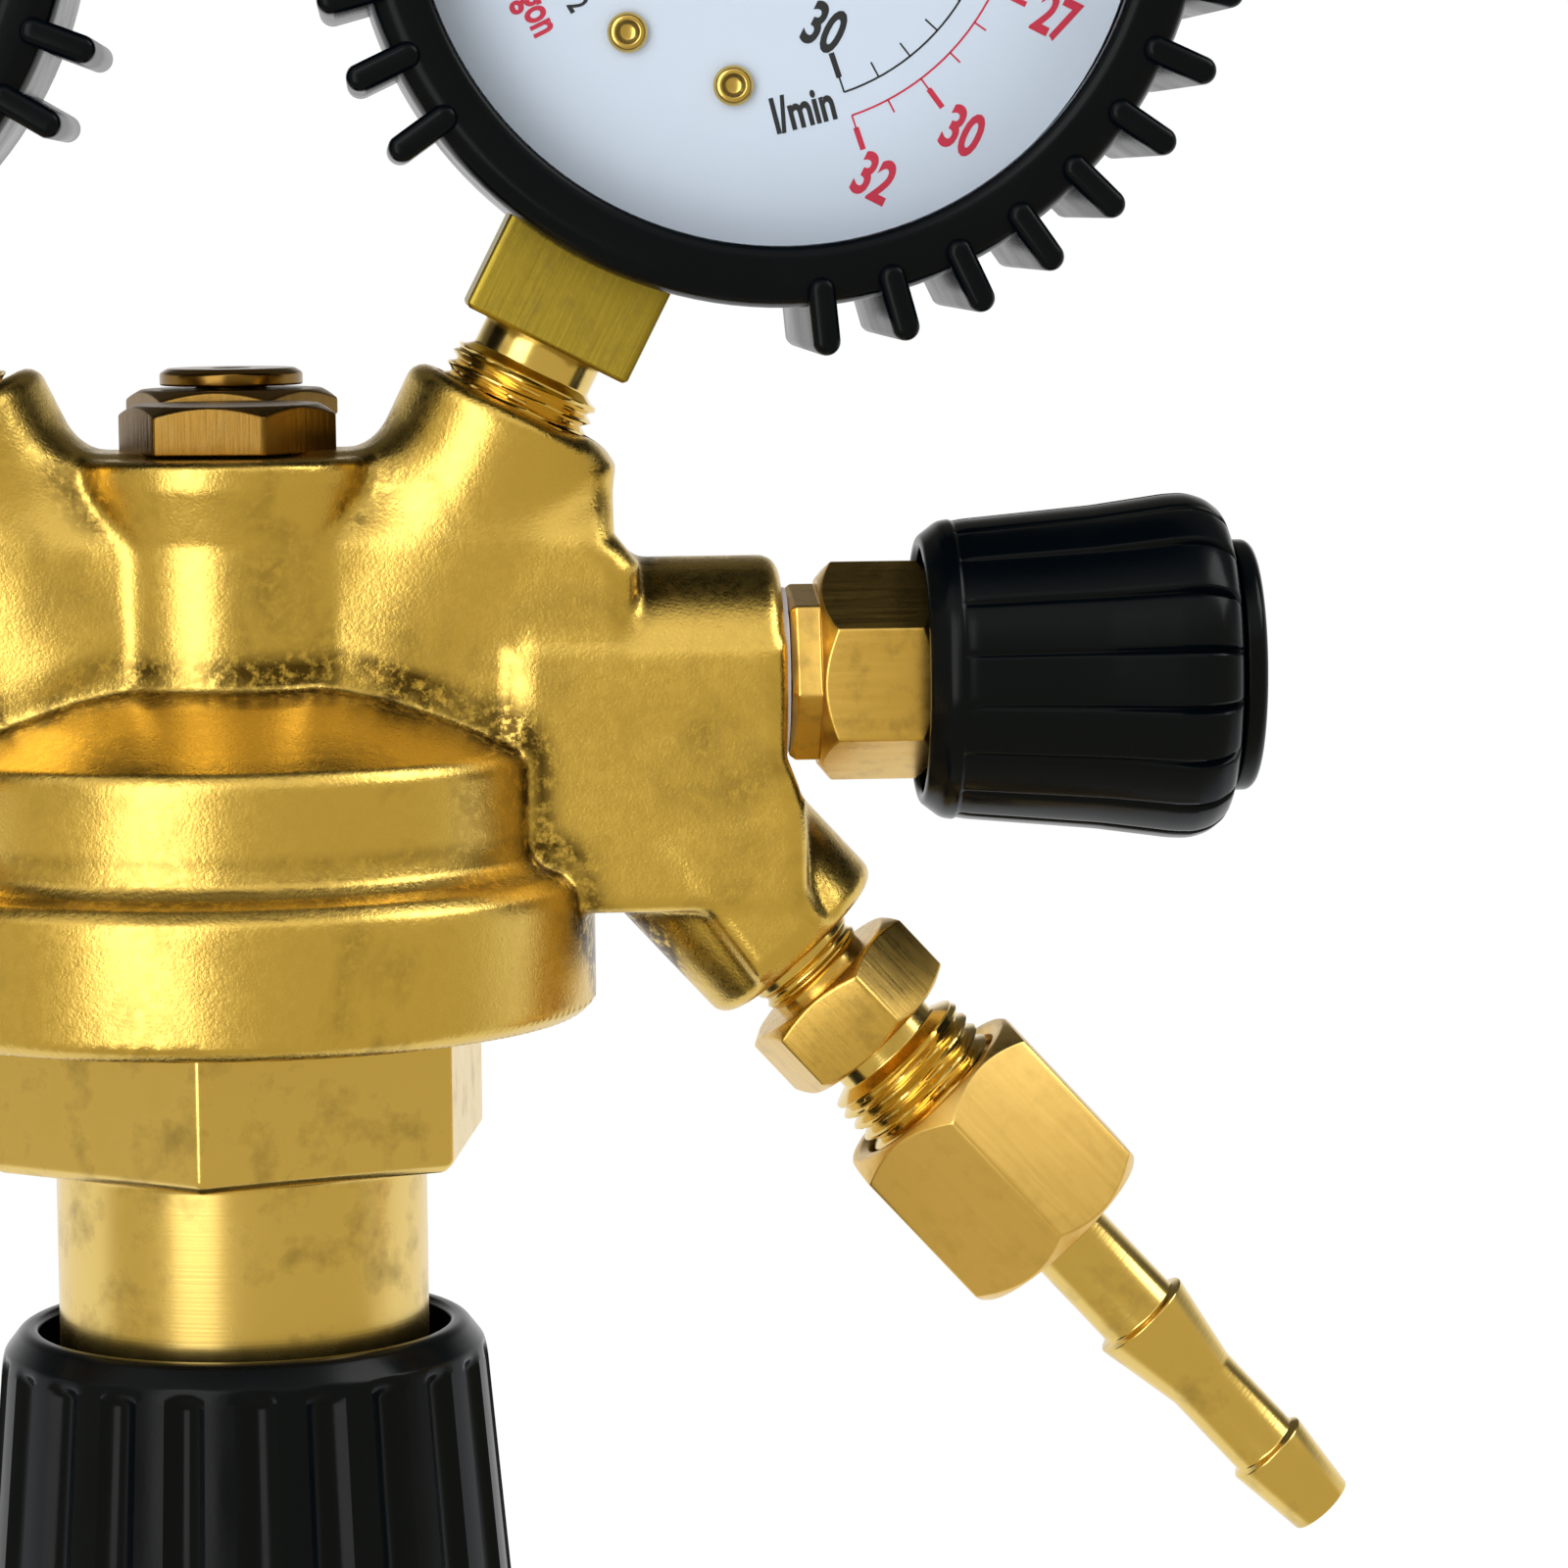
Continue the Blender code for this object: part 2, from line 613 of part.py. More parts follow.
def make_body(kit, base):
    """The forging with its drilled gas ways, screwed sockets and diaphragm chamber."""
    brass = kit["forged_brass"]
    upright = turn_about("X", 90)
    body = add("body", upright_core(), brass, base)
    web = slab(web_outline(), -WEB_THICKNESS/2, WEB_THICKNESS/2, WEB_ROUNDING)
    pad = slab(pad_outline(), -PAD_THICKNESS/2, PAD_THICKNESS/2, PAD_ROUNDING)
    relief_boss = rod(RELIEF_BOSS_RADIUS, RING_TOP-3.0, RELIEF_BOSS_HEIGHT, 16, EDGE_ROUNDING)
    outlet_boss = rod(OUTLET_BOSS_RADIUS, -OUTLET_BOSS_LENGTH, 0, 20, EDGE_ROUNDING)
    added = [add("web", web, brass, base, upright), add("pad", pad, brass, base, upright),
             add("arms", cross_bar(), brass, base, along_valve()),
             add("relief_boss", relief_boss, brass, base, on_relief()),
             add("outlet_boss", outlet_boss, brass, base, along_outlet())]
    for side in (1, -1):
        gauge_boss = rod(GAUGE_BOSS_RADIUS, GAUGE_AXES_DROP, GAUGE_BOSS_REACH, 20, ARM_ROUNDING)
        added.append(add("gauge_boss", gauge_boss, brass, base, along_gauge(side)))
    combine(body, added, "UNION")
    combine(body, body_cutters(brass, base), "DIFFERENCE")
    return body


def body_cutters(brass, base):
    """Drills for every gas way, and the turned hollow for the diaphragm and bonnet."""
    beyond = 2.0
    roof = LOW_CHAMBER_TOP-1.0
    nozzle_end = NOZZLE_SEAT-NOZZLE_LENGTH-GAP
    pin_way = 2*PASSAGE_RADIUS
    hollow = turned([
        (0, LOW_CHAMBER_TOP), (LOW_CHAMBER_RADIUS, LOW_CHAMBER_TOP), (LOW_CHAMBER_RADIUS, DIAPHRAGM_SEAT),
        (BONNET_THREAD_RADIUS, DIAPHRAGM_SEAT), (BONNET_THREAD_RADIUS, DISC_BOTTOM-beyond),
        (0, DISC_BOTTOM-beyond)], 28)
    centre = turned([
        (0, TOP_BOSS_HEIGHT+beyond), (VALVE_CHAMBER_RADIUS, TOP_BOSS_HEIGHT+beyond),
        (VALVE_CHAMBER_RADIUS, NOZZLE_SEAT), (NOZZLE_RADIUS+GAP, NOZZLE_SEAT), (NOZZLE_RADIUS+GAP, nozzle_end),
        (pin_way, nozzle_end), (pin_way, roof), (0, roof)], 16)
    inlet = turned([(0, ARM_LENGTH+beyond), (NIPPLE_THREAD_RADIUS+GAP, ARM_LENGTH+beyond),
                    (NIPPLE_THREAD_RADIUS+GAP, ARM_LENGTH-NIPPLE_THREAD_LENGTH-1.0),
                    (PASSAGE_RADIUS, ARM_LENGTH-NIPPLE_THREAD_LENGTH-3.0), (PASSAGE_RADIUS, 0), (0, 0)], 14)
    flow = turned([(0, ARM_LENGTH+beyond), (VALVE_THREAD_RADIUS+GAP, ARM_LENGTH+beyond),
                   (VALVE_THREAD_RADIUS+GAP, ARM_LENGTH-VALVE_THREAD_LENGTH-GAP),
                   (STEM_COLLAR_RADIUS+RUNNING_GAP, ARM_LENGTH-VALVE_THREAD_LENGTH-GAP),
                   (STEM_COLLAR_RADIUS+RUNNING_GAP, VALVE_SEAT_REACH), (FLOW_WAY_RADIUS, VALVE_SEAT_REACH),
                   (FLOW_WAY_RADIUS, COLUMN_RADIUS+2.0), (0, COLUMN_RADIUS+2.0)], 14)
    outlet = turned([(0, beyond), (ADAPTOR_THREAD_RADIUS+GAP, beyond),
                     (ADAPTOR_THREAD_RADIUS+GAP, -ADAPTOR_THREAD_LENGTH-GAP),
                     (PASSAGE_RADIUS, -ADAPTOR_THREAD_LENGTH-GAP), (PASSAGE_RADIUS, -OUTLET_DRILL_DEPTH),
                     (0, -OUTLET_DRILL_DEPTH)], 14)
    relief = turned([(0, RELIEF_BOSS_HEIGHT+beyond), (RELIEF_THREAD_RADIUS+GAP, RELIEF_BOSS_HEIGHT+beyond),
                     (RELIEF_THREAD_RADIUS+GAP, RELIEF_BOSS_HEIGHT-RELIEF_THREAD_LENGTH-GAP),
                     (PASSAGE_RADIUS, RELIEF_BOSS_HEIGHT-RELIEF_THREAD_LENGTH-GAP),
                     (PASSAGE_RADIUS, roof), (0, roof)], 14)
    riser = rod(PASSAGE_RADIUS, roof, 0.5, 8)
    cutters = [add("cut_hollow", hollow, brass, base), add("cut_centre", centre, brass, base),
               add("cut_inlet", inlet, brass, base, along_inlet()),
               add("cut_flow", flow, brass, base, along_valve()),
               add("cut_outlet", outlet, brass, base, along_outlet()),
               add("cut_relief", relief, brass, base, on_relief()),
               add("cut_riser", riser, brass, base, shift(COLUMN_RADIUS+7.0))]
    socket_end = GAUGE_BOSS_REACH-GAUGE_THREAD_DEPTH-GAP
    axis_reach = GAUGE_AXES_DROP/math.cos(math.radians(GAUGE_TILT))
    tapped = GAUGE_THREAD_RADIUS+GAP
    for side in (1, -1):
        port = turned([(0, GAUGE_BOSS_REACH+beyond), (tapped, GAUGE_BOSS_REACH+beyond), (tapped, socket_end),
                       (GAUGE_PORT_RADIUS, socket_end), (GAUGE_PORT_RADIUS, axis_reach), (0, axis_reach)], 14)
        cutters.append(add("cut_port", port, brass, base, along_gauge(side)))
    return cutters


# Diaphragm and adjusting gear

def make_pressure_gear(kit, base):
    """The diaphragm, its plates and seal ring, the bonnet and the adjusting spring on its button."""
    count = 30
    inner = count//2
    clamp = BONNET_THREAD_RADIUS-GAP
    fold_width = 3.0
    fold = LOW_CHAMBER_RADIUS-fold_width
    fold_height = 1.6
    rim = LOW_CHAMBER_RADIUS-0.6
    hole = PIN_RADIUS+RUNNING_GAP
    add("diaphragm", turned([
        (hole, DIAPHRAGM_TOP), (fold-fold_width, DIAPHRAGM_TOP), (fold, DIAPHRAGM_TOP+fold_height),
        (rim, DIAPHRAGM_TOP), (clamp, DIAPHRAGM_TOP), (clamp, DIAPHRAGM_BOTTOM), (rim, DIAPHRAGM_BOTTOM),
        (fold, DIAPHRAGM_BOTTOM+fold_height), (fold-fold_width, DIAPHRAGM_BOTTOM), (hole, DIAPHRAGM_BOTTOM)],
        20, True), kit["seal_rubber"], base)
    slip_low = BONNET_TOP+GAP
    slip_high = slip_low+SLIP_RING_THICKNESS
    add("slip_ring", turned([
        (LOW_CHAMBER_RADIUS, slip_low), (clamp, slip_low), (clamp, slip_high), (LOW_CHAMBER_RADIUS, slip_high)],
        20, True), kit["white_nylon"], base)
    seat_low = PLATE_BOTTOM-SEAT_BOSS_HEIGHT
    seat_tip = SEAT_BOSS_RADIUS-0.6
    add("diaphragm_plate", turned([
        (0, PLATE_TOP), (PLATE_RADIUS, PLATE_TOP), (PLATE_RADIUS, PLATE_BOTTOM), (SEAT_BOSS_RADIUS, PLATE_BOTTOM),
        (seat_tip, seat_low), (0, seat_low)], 18), kit["turned_brass"], base)
    pusher_low = DIAPHRAGM_TOP+GAP
    pusher_high = pusher_low+PUSHER_THICKNESS
    add("diaphragm_pusher", turned([
        (0, pusher_low), (PUSHER_RADIUS, pusher_low), (PUSHER_RADIUS, pusher_high-0.4*PUSHER_THICKNESS),
        (PUSHER_RADIUS-1.0, pusher_high), (0, pusher_high)], 12), kit["turned_brass"], base)
    corners = chamfered_hex(BONNET_FLATS, HEX_BOTTOM, DISC_BOTTOM-GAP, count)
    rings = [circle(clamp, BONNET_TOP, count), circle(clamp, DISC_BOTTOM+GAP, count),
             circle(BONNET_FLATS/2-2.0, DISC_BOTTOM-GAP, count)]
    rings += list(reversed(corners))
    edge = 0.6
    rings += [circle(BARREL_RADIUS, HEX_BOTTOM, count), circle(BARREL_RADIUS, BARREL_BOTTOM+edge, count),
              circle(BARREL_RADIUS-edge, BARREL_BOTTOM, count), circle(SCREW_RADIUS+GAP, BARREL_BOTTOM, inner),
              circle(SCREW_RADIUS+GAP, BARREL_FLOOR_TOP, inner), circle(BARREL_BORE, BARREL_FLOOR_TOP, inner),
              circle(BARREL_BORE, seat_low-1.0, inner), circle(LOW_CHAMBER_RADIUS-1.0, BONNET_TOP, inner)]
    add("bonnet", loft(rings, True), kit["forged_brass"], base, turn_about("Z", BONNET_TURN))
    spring = coil(SPRING_RADIUS, SPRING_WIRE, BUTTON_TOP+GAP, PLATE_BOTTOM-GAP, SPRING_TURNS, 4, 10)
    add("adjusting_spring", spring, kit["steel"], base)
    button_rim = BARREL_BORE-RUNNING_GAP
    seat_high = BUTTON_TOP+SEAT_BOSS_HEIGHT
    add("spring_button", turned([
        (0, BUTTON_BOTTOM), (button_rim, BUTTON_BOTTOM), (button_rim, BUTTON_TOP), (SEAT_BOSS_RADIUS, BUTTON_TOP),
        (seat_tip, seat_high), (0, seat_high)], 18), kit["steel"], base)


def make_high_valve(kit, base):
    """The nozzle, poppet with its pin, closing spring and hexagon plug in the central bore."""
    bottom = NOZZLE_SEAT-NOZZLE_LENGTH
    flange_low = NOZZLE_SEAT+GAP
    flange_high = flange_low+NOZZLE_FLANGE
    flange = VALVE_CHAMBER_RADIUS-GAP
    add("seat_nozzle", turned([
        (NOZZLE_BORE, bottom), (NOZZLE_RADIUS, bottom), (NOZZLE_RADIUS, flange_low), (flange, flange_low),
        (flange, flange_high-0.5), (NOZZLE_BORE+1.0, flange_high-0.5), (NOZZLE_BORE+0.5, flange_high),
        (NOZZLE_BORE, flange_high)], 14, True), kit["turned_brass"], base)
    pin_tip = DIAPHRAGM_TOP+2*GAP+PUSHER_THICKNESS
    poppet_top = POPPET_BOTTOM+POPPET_HEIGHT
    tail_top = poppet_top+POPPET_HEIGHT/2
    add("poppet", turned([
        (0, pin_tip), (PIN_RADIUS, pin_tip), (PIN_RADIUS, POPPET_BOTTOM), (POPPET_RADIUS, POPPET_BOTTOM),
        (POPPET_RADIUS, poppet_top), (PIN_RADIUS, poppet_top), (PIN_RADIUS, tail_top), (0, tail_top)],
        10), kit["turned_brass"], base)
    thread = VALVE_CHAMBER_RADIUS-GAP
    plug_low = TOP_BOSS_HEIGHT-PLUG_THREAD_LENGTH
    plug_floor = TOP_BOSS_HEIGHT-1.5
    hexagon = TOP_BOSS_HEIGHT+GAP
    count = 18
    rings = [circle(thread-PLUG_WALL, plug_floor, count), circle(thread-PLUG_WALL, plug_low, count),
             circle(thread, plug_low, count), circle(thread, hexagon, count)]
    rings += chamfered_hex(PLUG_FLATS, hexagon, hexagon+PLUG_HEX_HEIGHT, count, False)
    add("top_plug", loft(rings), kit["turned_brass"], base, turn_about("Z", PLUG_TURN))
    coil_radius = thread-PLUG_WALL-GAP-POPPET_WIRE
    add("poppet_spring", coil(coil_radius, POPPET_WIRE, poppet_top+GAP, plug_floor-GAP, 4), kit["steel"], base)


def fluted_knob(rim, start, widest, length, flutes, bore, bore_depth, hub, hub_depth, recess, recess_depth):
    """A tapered knob on Z, open rim at 0 and end face at length, with a scooped flute at each step.

    Each flute has three points: its two edges and its floor. The bore under the rim, the blind hub
    hole below it and the round recess in the end face have one point to each flute.
    """
    chamfer = start-rim
    crown = 0.13*length
    # Radius, height and flute depth of each outer ring
    outer = [(rim, 0, 0), (start, chamfer, 0.025*widest),
             (widest, length-crown, 0.04*widest), (widest-0.25*crown, length-0.45*crown, 0.04*widest),
             (widest-0.75*crown, length, 0)]
    rings = []
    for radius, height, scoop in outer:
        ring = []
        for i in range(flutes):
            for part, cut in ((0.0, 0.0), (0.3, scoop), (0.6, 0.0)):
                angle = 2*math.pi*(i+part)/flutes
                ring.append(((radius-cut)*math.cos(angle), (radius-cut)*math.sin(angle), height))
        rings.append(ring)
    rings += [circle(recess, length, flutes), circle(recess, length-recess_depth, flutes)]
    under = [circle(hub, bore_depth+hub_depth, flutes), circle(hub, bore_depth, flutes),
             circle(bore, bore_depth, flutes), circle(bore, 0, flutes)]
    return loft(under+rings)


def knob_cap(radius, spigot, spigot_length):
    """A flat cap with a spigot, its seating face at 0 and its outer face up."""
    return turned([(0, -spigot_length), (spigot, -spigot_length), (spigot, GAP), (radius, GAP),
                   (radius, GAP+0.6*CAP_THICKNESS), (radius-0.8, GAP+CAP_THICKNESS), (0, GAP+CAP_THICKNESS)], 20)


def make_adjuster(kit, base):
    """The adjusting screw and its knob, which turn and climb together."""
    downward = shift(0, 0, KNOB_RIM) @ turn_about("X", 180)
    hub_end = KNOB_FLOOR_DEPTH+KNOB_HUB_DEPTH
    screw_end = KNOB_RIM-hub_end+GAP
    add("adjusting_screw", turned([
        (0, BARREL_FLOOR_TOP), (SCREW_RADIUS-1.0, BARREL_FLOOR_TOP), (SCREW_RADIUS, BARREL_FLOOR_TOP-1.0),
        (SCREW_RADIUS, screw_end), (0, screw_end)], 20), kit["steel"], base)
    knob = fluted_knob(KNOB_RIM_RADIUS, KNOB_START_RADIUS, KNOB_RADIUS, KNOB_LENGTH, KNOB_FLUTES, KNOB_SKIRT_BORE,
                       KNOB_FLOOR_DEPTH, SCREW_RADIUS+GAP, KNOB_HUB_DEPTH, KNOB_RECESS_RADIUS, CAP_RECESS_DEPTH)
    add("adjusting_knob", knob, kit["black_plastic"], base, downward)
    cap = knob_cap(KNOB_CAP_RADIUS, KNOB_RECESS_RADIUS-2*GAP, 2.5)
    add("adjusting_knob_cap", cap, kit["black_plastic"], base, downward @ shift(0, 0, KNOB_LENGTH))


# Flow valve

def make_flow_valve(kit, base):
    """Gasket, screwed bonnet, packing, stem with its swivelling seat pad, and the fluted knob."""
    place = along_valve()
    gasket_low = ARM_LENGTH+GAP
    gasket_high = gasket_low+GASKET_THICKNESS
    gasket_bore = VALVE_THREAD_RADIUS+GAP
    add("valve_gasket", turned([
        (gasket_bore, gasket_low), (GASKET_RADIUS, gasket_low), (GASKET_RADIUS, gasket_high),
        (gasket_bore, gasket_high)], 18, True), kit["white_nylon"], base, place)
    thread_end = ARM_LENGTH-VALVE_THREAD_LENGTH
    collar_end = VALVE_FACE+VALVE_COLLAR_LENGTH
    bore = STEM_RADIUS+GAP
    pocket = STEM_COLLAR_RADIUS+RUNNING_GAP
    pocket_end = thread_end+FLOW_TRAVEL+0.6
    groove = STEM_RADIUS+GAP+PACKING_WALL+GAP
    groove_start = collar_end+1.5
    groove_end = groove_start+PACKING_LENGTH+2*GAP
    count = 18
    inner = count//2
    rings = [circle(pocket, thread_end, inner), circle(VALVE_THREAD_RADIUS, thread_end, count),
             circle(VALVE_THREAD_RADIUS, VALVE_FACE, count)]
    rings += [polygon(6, VALVE_COLLAR_FLATS, z, count) for z in (VALVE_FACE, collar_end)]
    rings += chamfered_hex(VALVE_HEX_FLATS, collar_end, VALVE_HEX_END, count)
    inside = ((bore, VALVE_HEX_END), (bore, groove_end), (groove, groove_end), (groove, groove_start),
              (bore, groove_start), (bore, pocket_end), (pocket, pocket_end))
    rings += [circle(radius, z, inner) for radius, z in inside]
    add("valve_bonnet", loft(rings, True), kit["turned_brass"], base, place)
    add("stem_packing", turned([
        (bore, groove_start+GAP), (bore+PACKING_WALL, groove_start+GAP),
        (bore+PACKING_WALL, groove_end-GAP), (bore, groove_end-GAP)], 12, True), kit["seal_rubber"], base, place)
    pad_start = VALVE_SEAT_REACH+GAP
    stem_start = pad_start+SEAT_PAD_LENGTH+GAP
    pad_end = pad_start+SEAT_PAD_LENGTH
    add("seat_pad", turned([
        (0, pad_start), (SEAT_PAD_RADIUS-0.8, pad_start), (SEAT_PAD_RADIUS, pad_start+0.8),
        (SEAT_PAD_RADIUS, pad_end), (0, pad_end)], 12), kit["white_nylon"], base, place)
    bore_depth = FLOW_KNOB_OVERLAP+1.2
    hub_end = FLOW_KNOB_RIM+bore_depth+FLOW_KNOB_HUB_DEPTH
    collar_low = stem_start+1.2
    collar_high = thread_end-GAP
    add("valve_stem", turned([
        (0, stem_start), (STEM_RADIUS, stem_start), (STEM_RADIUS, collar_low), (STEM_COLLAR_RADIUS, collar_low),
        (STEM_COLLAR_RADIUS, collar_high), (STEM_RADIUS, collar_high), (STEM_RADIUS, hub_end-GAP),
        (0, hub_end-GAP)], 12), kit["turned_brass"], base, place)
    knob = fluted_knob(FLOW_KNOB_RIM_RADIUS, FLOW_KNOB_START_RADIUS, FLOW_KNOB_RADIUS, FLOW_KNOB_LENGTH,
                       FLOW_KNOB_FLUTES, FLOW_KNOB_RIM_RADIUS-1.2, bore_depth, STEM_RADIUS+GAP,
                       FLOW_KNOB_HUB_DEPTH, FLOW_KNOB_RECESS_RADIUS, CAP_RECESS_DEPTH)
    on_stem = place @ shift(0, 0, FLOW_KNOB_RIM)
    add("flow_knob", knob, kit["black_plastic"], base, on_stem)
    cap = knob_cap(FLOW_KNOB_CAP_RADIUS, FLOW_KNOB_RECESS_RADIUS-2*GAP, 2.0)
    add("flow_knob_cap", cap, kit["black_plastic"], base, on_stem @ shift(0, 0, FLOW_KNOB_LENGTH))


# Outlet

def make_outlet(kit, base):
    """Adaptor screwed into the boss, the union nut and the barbed hose tail that it holds."""
    place = along_outlet()
    brass = kit["turned_brass"]
    count = 18
    hex_low = ADAPTOR_NECK_LENGTH
    hex_high = hex_low+ADAPTOR_HEX_LENGTH
    thread_low = hex_high+UNION_NECK_LENGTH
    nut_low = thread_low+UNION_THREAD_SHOWN
    thread_high = nut_low+UNION_THREAD_INSIDE
    nut_high = nut_low+NUT_LENGTH
    neck = ADAPTOR_THREAD_RADIUS-0.3
    inner = count//2
    relief = 0.4*ADAPTOR_NECK_LENGTH
    lead = 0.6
    rings = [circle(TAIL_BORE, -ADAPTOR_THREAD_LENGTH, inner),
             circle(ADAPTOR_THREAD_RADIUS, -ADAPTOR_THREAD_LENGTH, count),
             circle(ADAPTOR_THREAD_RADIUS, relief, count), circle(neck, relief+0.4, count),
             circle(neck, hex_low, count)]
    rings += chamfered_hex(ADAPTOR_FLATS, hex_low, hex_high, count)
    rings += [circle(neck, hex_high, count), circle(neck, thread_low, count),
              circle(UNION_THREAD_RADIUS, thread_low+lead, count),
              circle(UNION_THREAD_RADIUS, thread_high-lead, count),
              circle(UNION_THREAD_RADIUS-lead, thread_high, count), circle(TAIL_BORE, thread_high, inner)]
    add("outlet_adaptor", loft(rings, True), brass, base, place @ turn_about("Z", ADAPTOR_TURN))
    flange_low = thread_high+GAP
    flange_high = flange_low+TAIL_FLANGE_LENGTH
    lip_low = nut_high-NUT_LIP
    wide = UNION_THREAD_RADIUS+GAP
    narrow = TAIL_RADIUS+GAP
    rings = chamfered_hex(NUT_FLATS, nut_low, nut_high, count)
    rings += [circle(narrow, nut_high, count), circle(narrow, lip_low, count), circle(wide, lip_low-1.0, count),
              circle(wide, nut_low, count)]
    add("outlet_nut", loft(rings, True), brass, base, place)
    tube_end = nut_high+TAIL_TUBE_LENGTH
    barb_end = tube_end+BARB_LENGTH
    tip_start = barb_end+TIP_LENGTH
    end = tip_start+TIP_BARB_LENGTH
    step = 0.3
    add("hose_tail", turned([
        (TAIL_BORE, flange_low), (TAIL_FLANGE_RADIUS-0.8, flange_low), (TAIL_FLANGE_RADIUS, flange_low+0.8),
        (TAIL_FLANGE_RADIUS, flange_high-0.4), (TAIL_RADIUS, min(flange_high+1.2, lip_low)),
        (TAIL_RADIUS, tube_end), (BARB_RADIUS, tube_end+step), (TIP_RADIUS, barb_end), (TIP_RADIUS, tip_start),
        (TIP_BARB_RADIUS, tip_start+step), (TIP_END_RADIUS, end), (TAIL_BORE, end)], 16, True), brass, base, place)


# Relief valve

def make_relief_valve(kit, base):
    """A small spring-loaded valve: screwed body, sealing disc, spring and vented cap."""
    count = 18
    low = RELIEF_BOSS_HEIGHT-RELIEF_THREAD_LENGTH
    floor = low+RELIEF_FLOOR
    inner = count//2
    rings = [circle(PASSAGE_RADIUS, low, inner), circle(RELIEF_THREAD_RADIUS, low, count),
             circle(RELIEF_THREAD_RADIUS, RELIEF_HEX_BOTTOM, count)]
    rings += chamfered_hex(RELIEF_FLATS, RELIEF_HEX_BOTTOM, RELIEF_HEX_TOP, count)
    rings += [circle(RELIEF_BORE, RELIEF_HEX_TOP, inner), circle(RELIEF_BORE, floor, inner),
              circle(PASSAGE_RADIUS, floor, inner)]
    add("relief_valve_body", loft(rings, True), kit["turned_brass"], base, on_relief() @ turn_about("Z", PLUG_TURN))
    disc_low = floor+GAP
    disc_high = disc_low+RELIEF_DISC_THICKNESS
    add("relief_disc", turned([(0, disc_low), (RELIEF_BORE-GAP, disc_low), (RELIEF_BORE-GAP, disc_high),
                               (0, disc_high)], 12), kit["seal_rubber"], base, on_relief())
    spigot_low = RELIEF_HEX_TOP-RELIEF_SPIGOT
    cap_low = RELIEF_HEX_TOP+GAP
    cap_high = cap_low+RELIEF_CAP_THICKNESS
    spigot = RELIEF_BORE-GAP
    spring = coil(spigot-RELIEF_WIRE, RELIEF_WIRE, disc_high+GAP, spigot_low-GAP, 3)
    add("relief_spring", spring, kit["steel"], base, on_relief())
    vent = RELIEF_BORE/4
    add("relief_cap", turned([
        (vent, spigot_low), (spigot, spigot_low), (spigot, cap_low), (RELIEF_CAP_RADIUS, cap_low),
        (RELIEF_CAP_RADIUS, cap_high-0.4), (RELIEF_CAP_RADIUS-0.6, cap_high), (vent, cap_high)], 14, True),
        kit["turned_brass"], base, on_relief())


# Inlet

def make_inlet(kit, base):
    """Nipple screwed into the left arm, the cylinder nut that turns on it, its seal and its filter."""
    place = along_inlet()
    count = 18
    face = INLET_REACH-SEAL_THICKNESS-GAP
    hex_low = ARM_LENGTH+GAP
    head_high = face-NIPPLE_NOSE_LENGTH
    head_low = head_high-NIPPLE_HEAD_LENGTH
    filter_bore = FILTER_RADIUS+GAP
    filter_floor = face-FILTER_LENGTH-2*GAP
    inner = count//2
    rings = [circle(PASSAGE_RADIUS, ARM_LENGTH-NIPPLE_THREAD_LENGTH, inner),
             circle(NIPPLE_THREAD_RADIUS, ARM_LENGTH-NIPPLE_THREAD_LENGTH, count),
             circle(NIPPLE_THREAD_RADIUS, hex_low, count)]
    hex_high = hex_low+NIPPLE_HEX_LENGTH
    rings += chamfered_hex(NIPPLE_HEX_FLATS, hex_low, hex_high, count)
    rings += [circle(NIPPLE_NECK_RADIUS, hex_high, count),
              circle(NIPPLE_NECK_RADIUS, head_low, count), circle(NIPPLE_HEAD_RADIUS, head_low+1.2, count),
              circle(NIPPLE_HEAD_RADIUS, head_high, count), circle(NIPPLE_NOSE_RADIUS, head_high+1.0, count),
              circle(NIPPLE_NOSE_RADIUS, face, count), circle(filter_bore, face, inner),
              circle(filter_bore, filter_floor, inner), circle(PASSAGE_RADIUS, filter_floor, inner)]
    add("inlet_nipple", loft(rings, True), kit["turned_brass"], base, place)
    add("inlet_filter", rod(FILTER_RADIUS, filter_floor+GAP, face-GAP, 12), kit["turned_brass"], base, place)
    add("inlet_seal", turned([
        (filter_bore, INLET_REACH), (NIPPLE_NOSE_RADIUS, INLET_REACH), (NIPPLE_NOSE_RADIUS, face+GAP),
        (filter_bore, face+GAP)], 18, True), kit["white_nylon"], base, place)
    nut_high = INLET_REACH+INLET_NUT_MOUTH
    nut_low = nut_high-INLET_NUT_LENGTH
    shoulder = head_low-GAP
    rings = chamfered_hex(INLET_NUT_FLATS, nut_low, nut_high, 24)
    rings += [circle(INLET_NUT_BORE, nut_high, 24), circle(INLET_NUT_BORE, shoulder+1.2, 24),
              circle(NIPPLE_NECK_RADIUS+RUNNING_GAP, shoulder-0.2, 24),
              circle(NIPPLE_NECK_RADIUS+RUNNING_GAP, nut_low, 24)]
    add("inlet_nut", loft(rings, True), kit["turned_brass"], base, place)


# Gauges

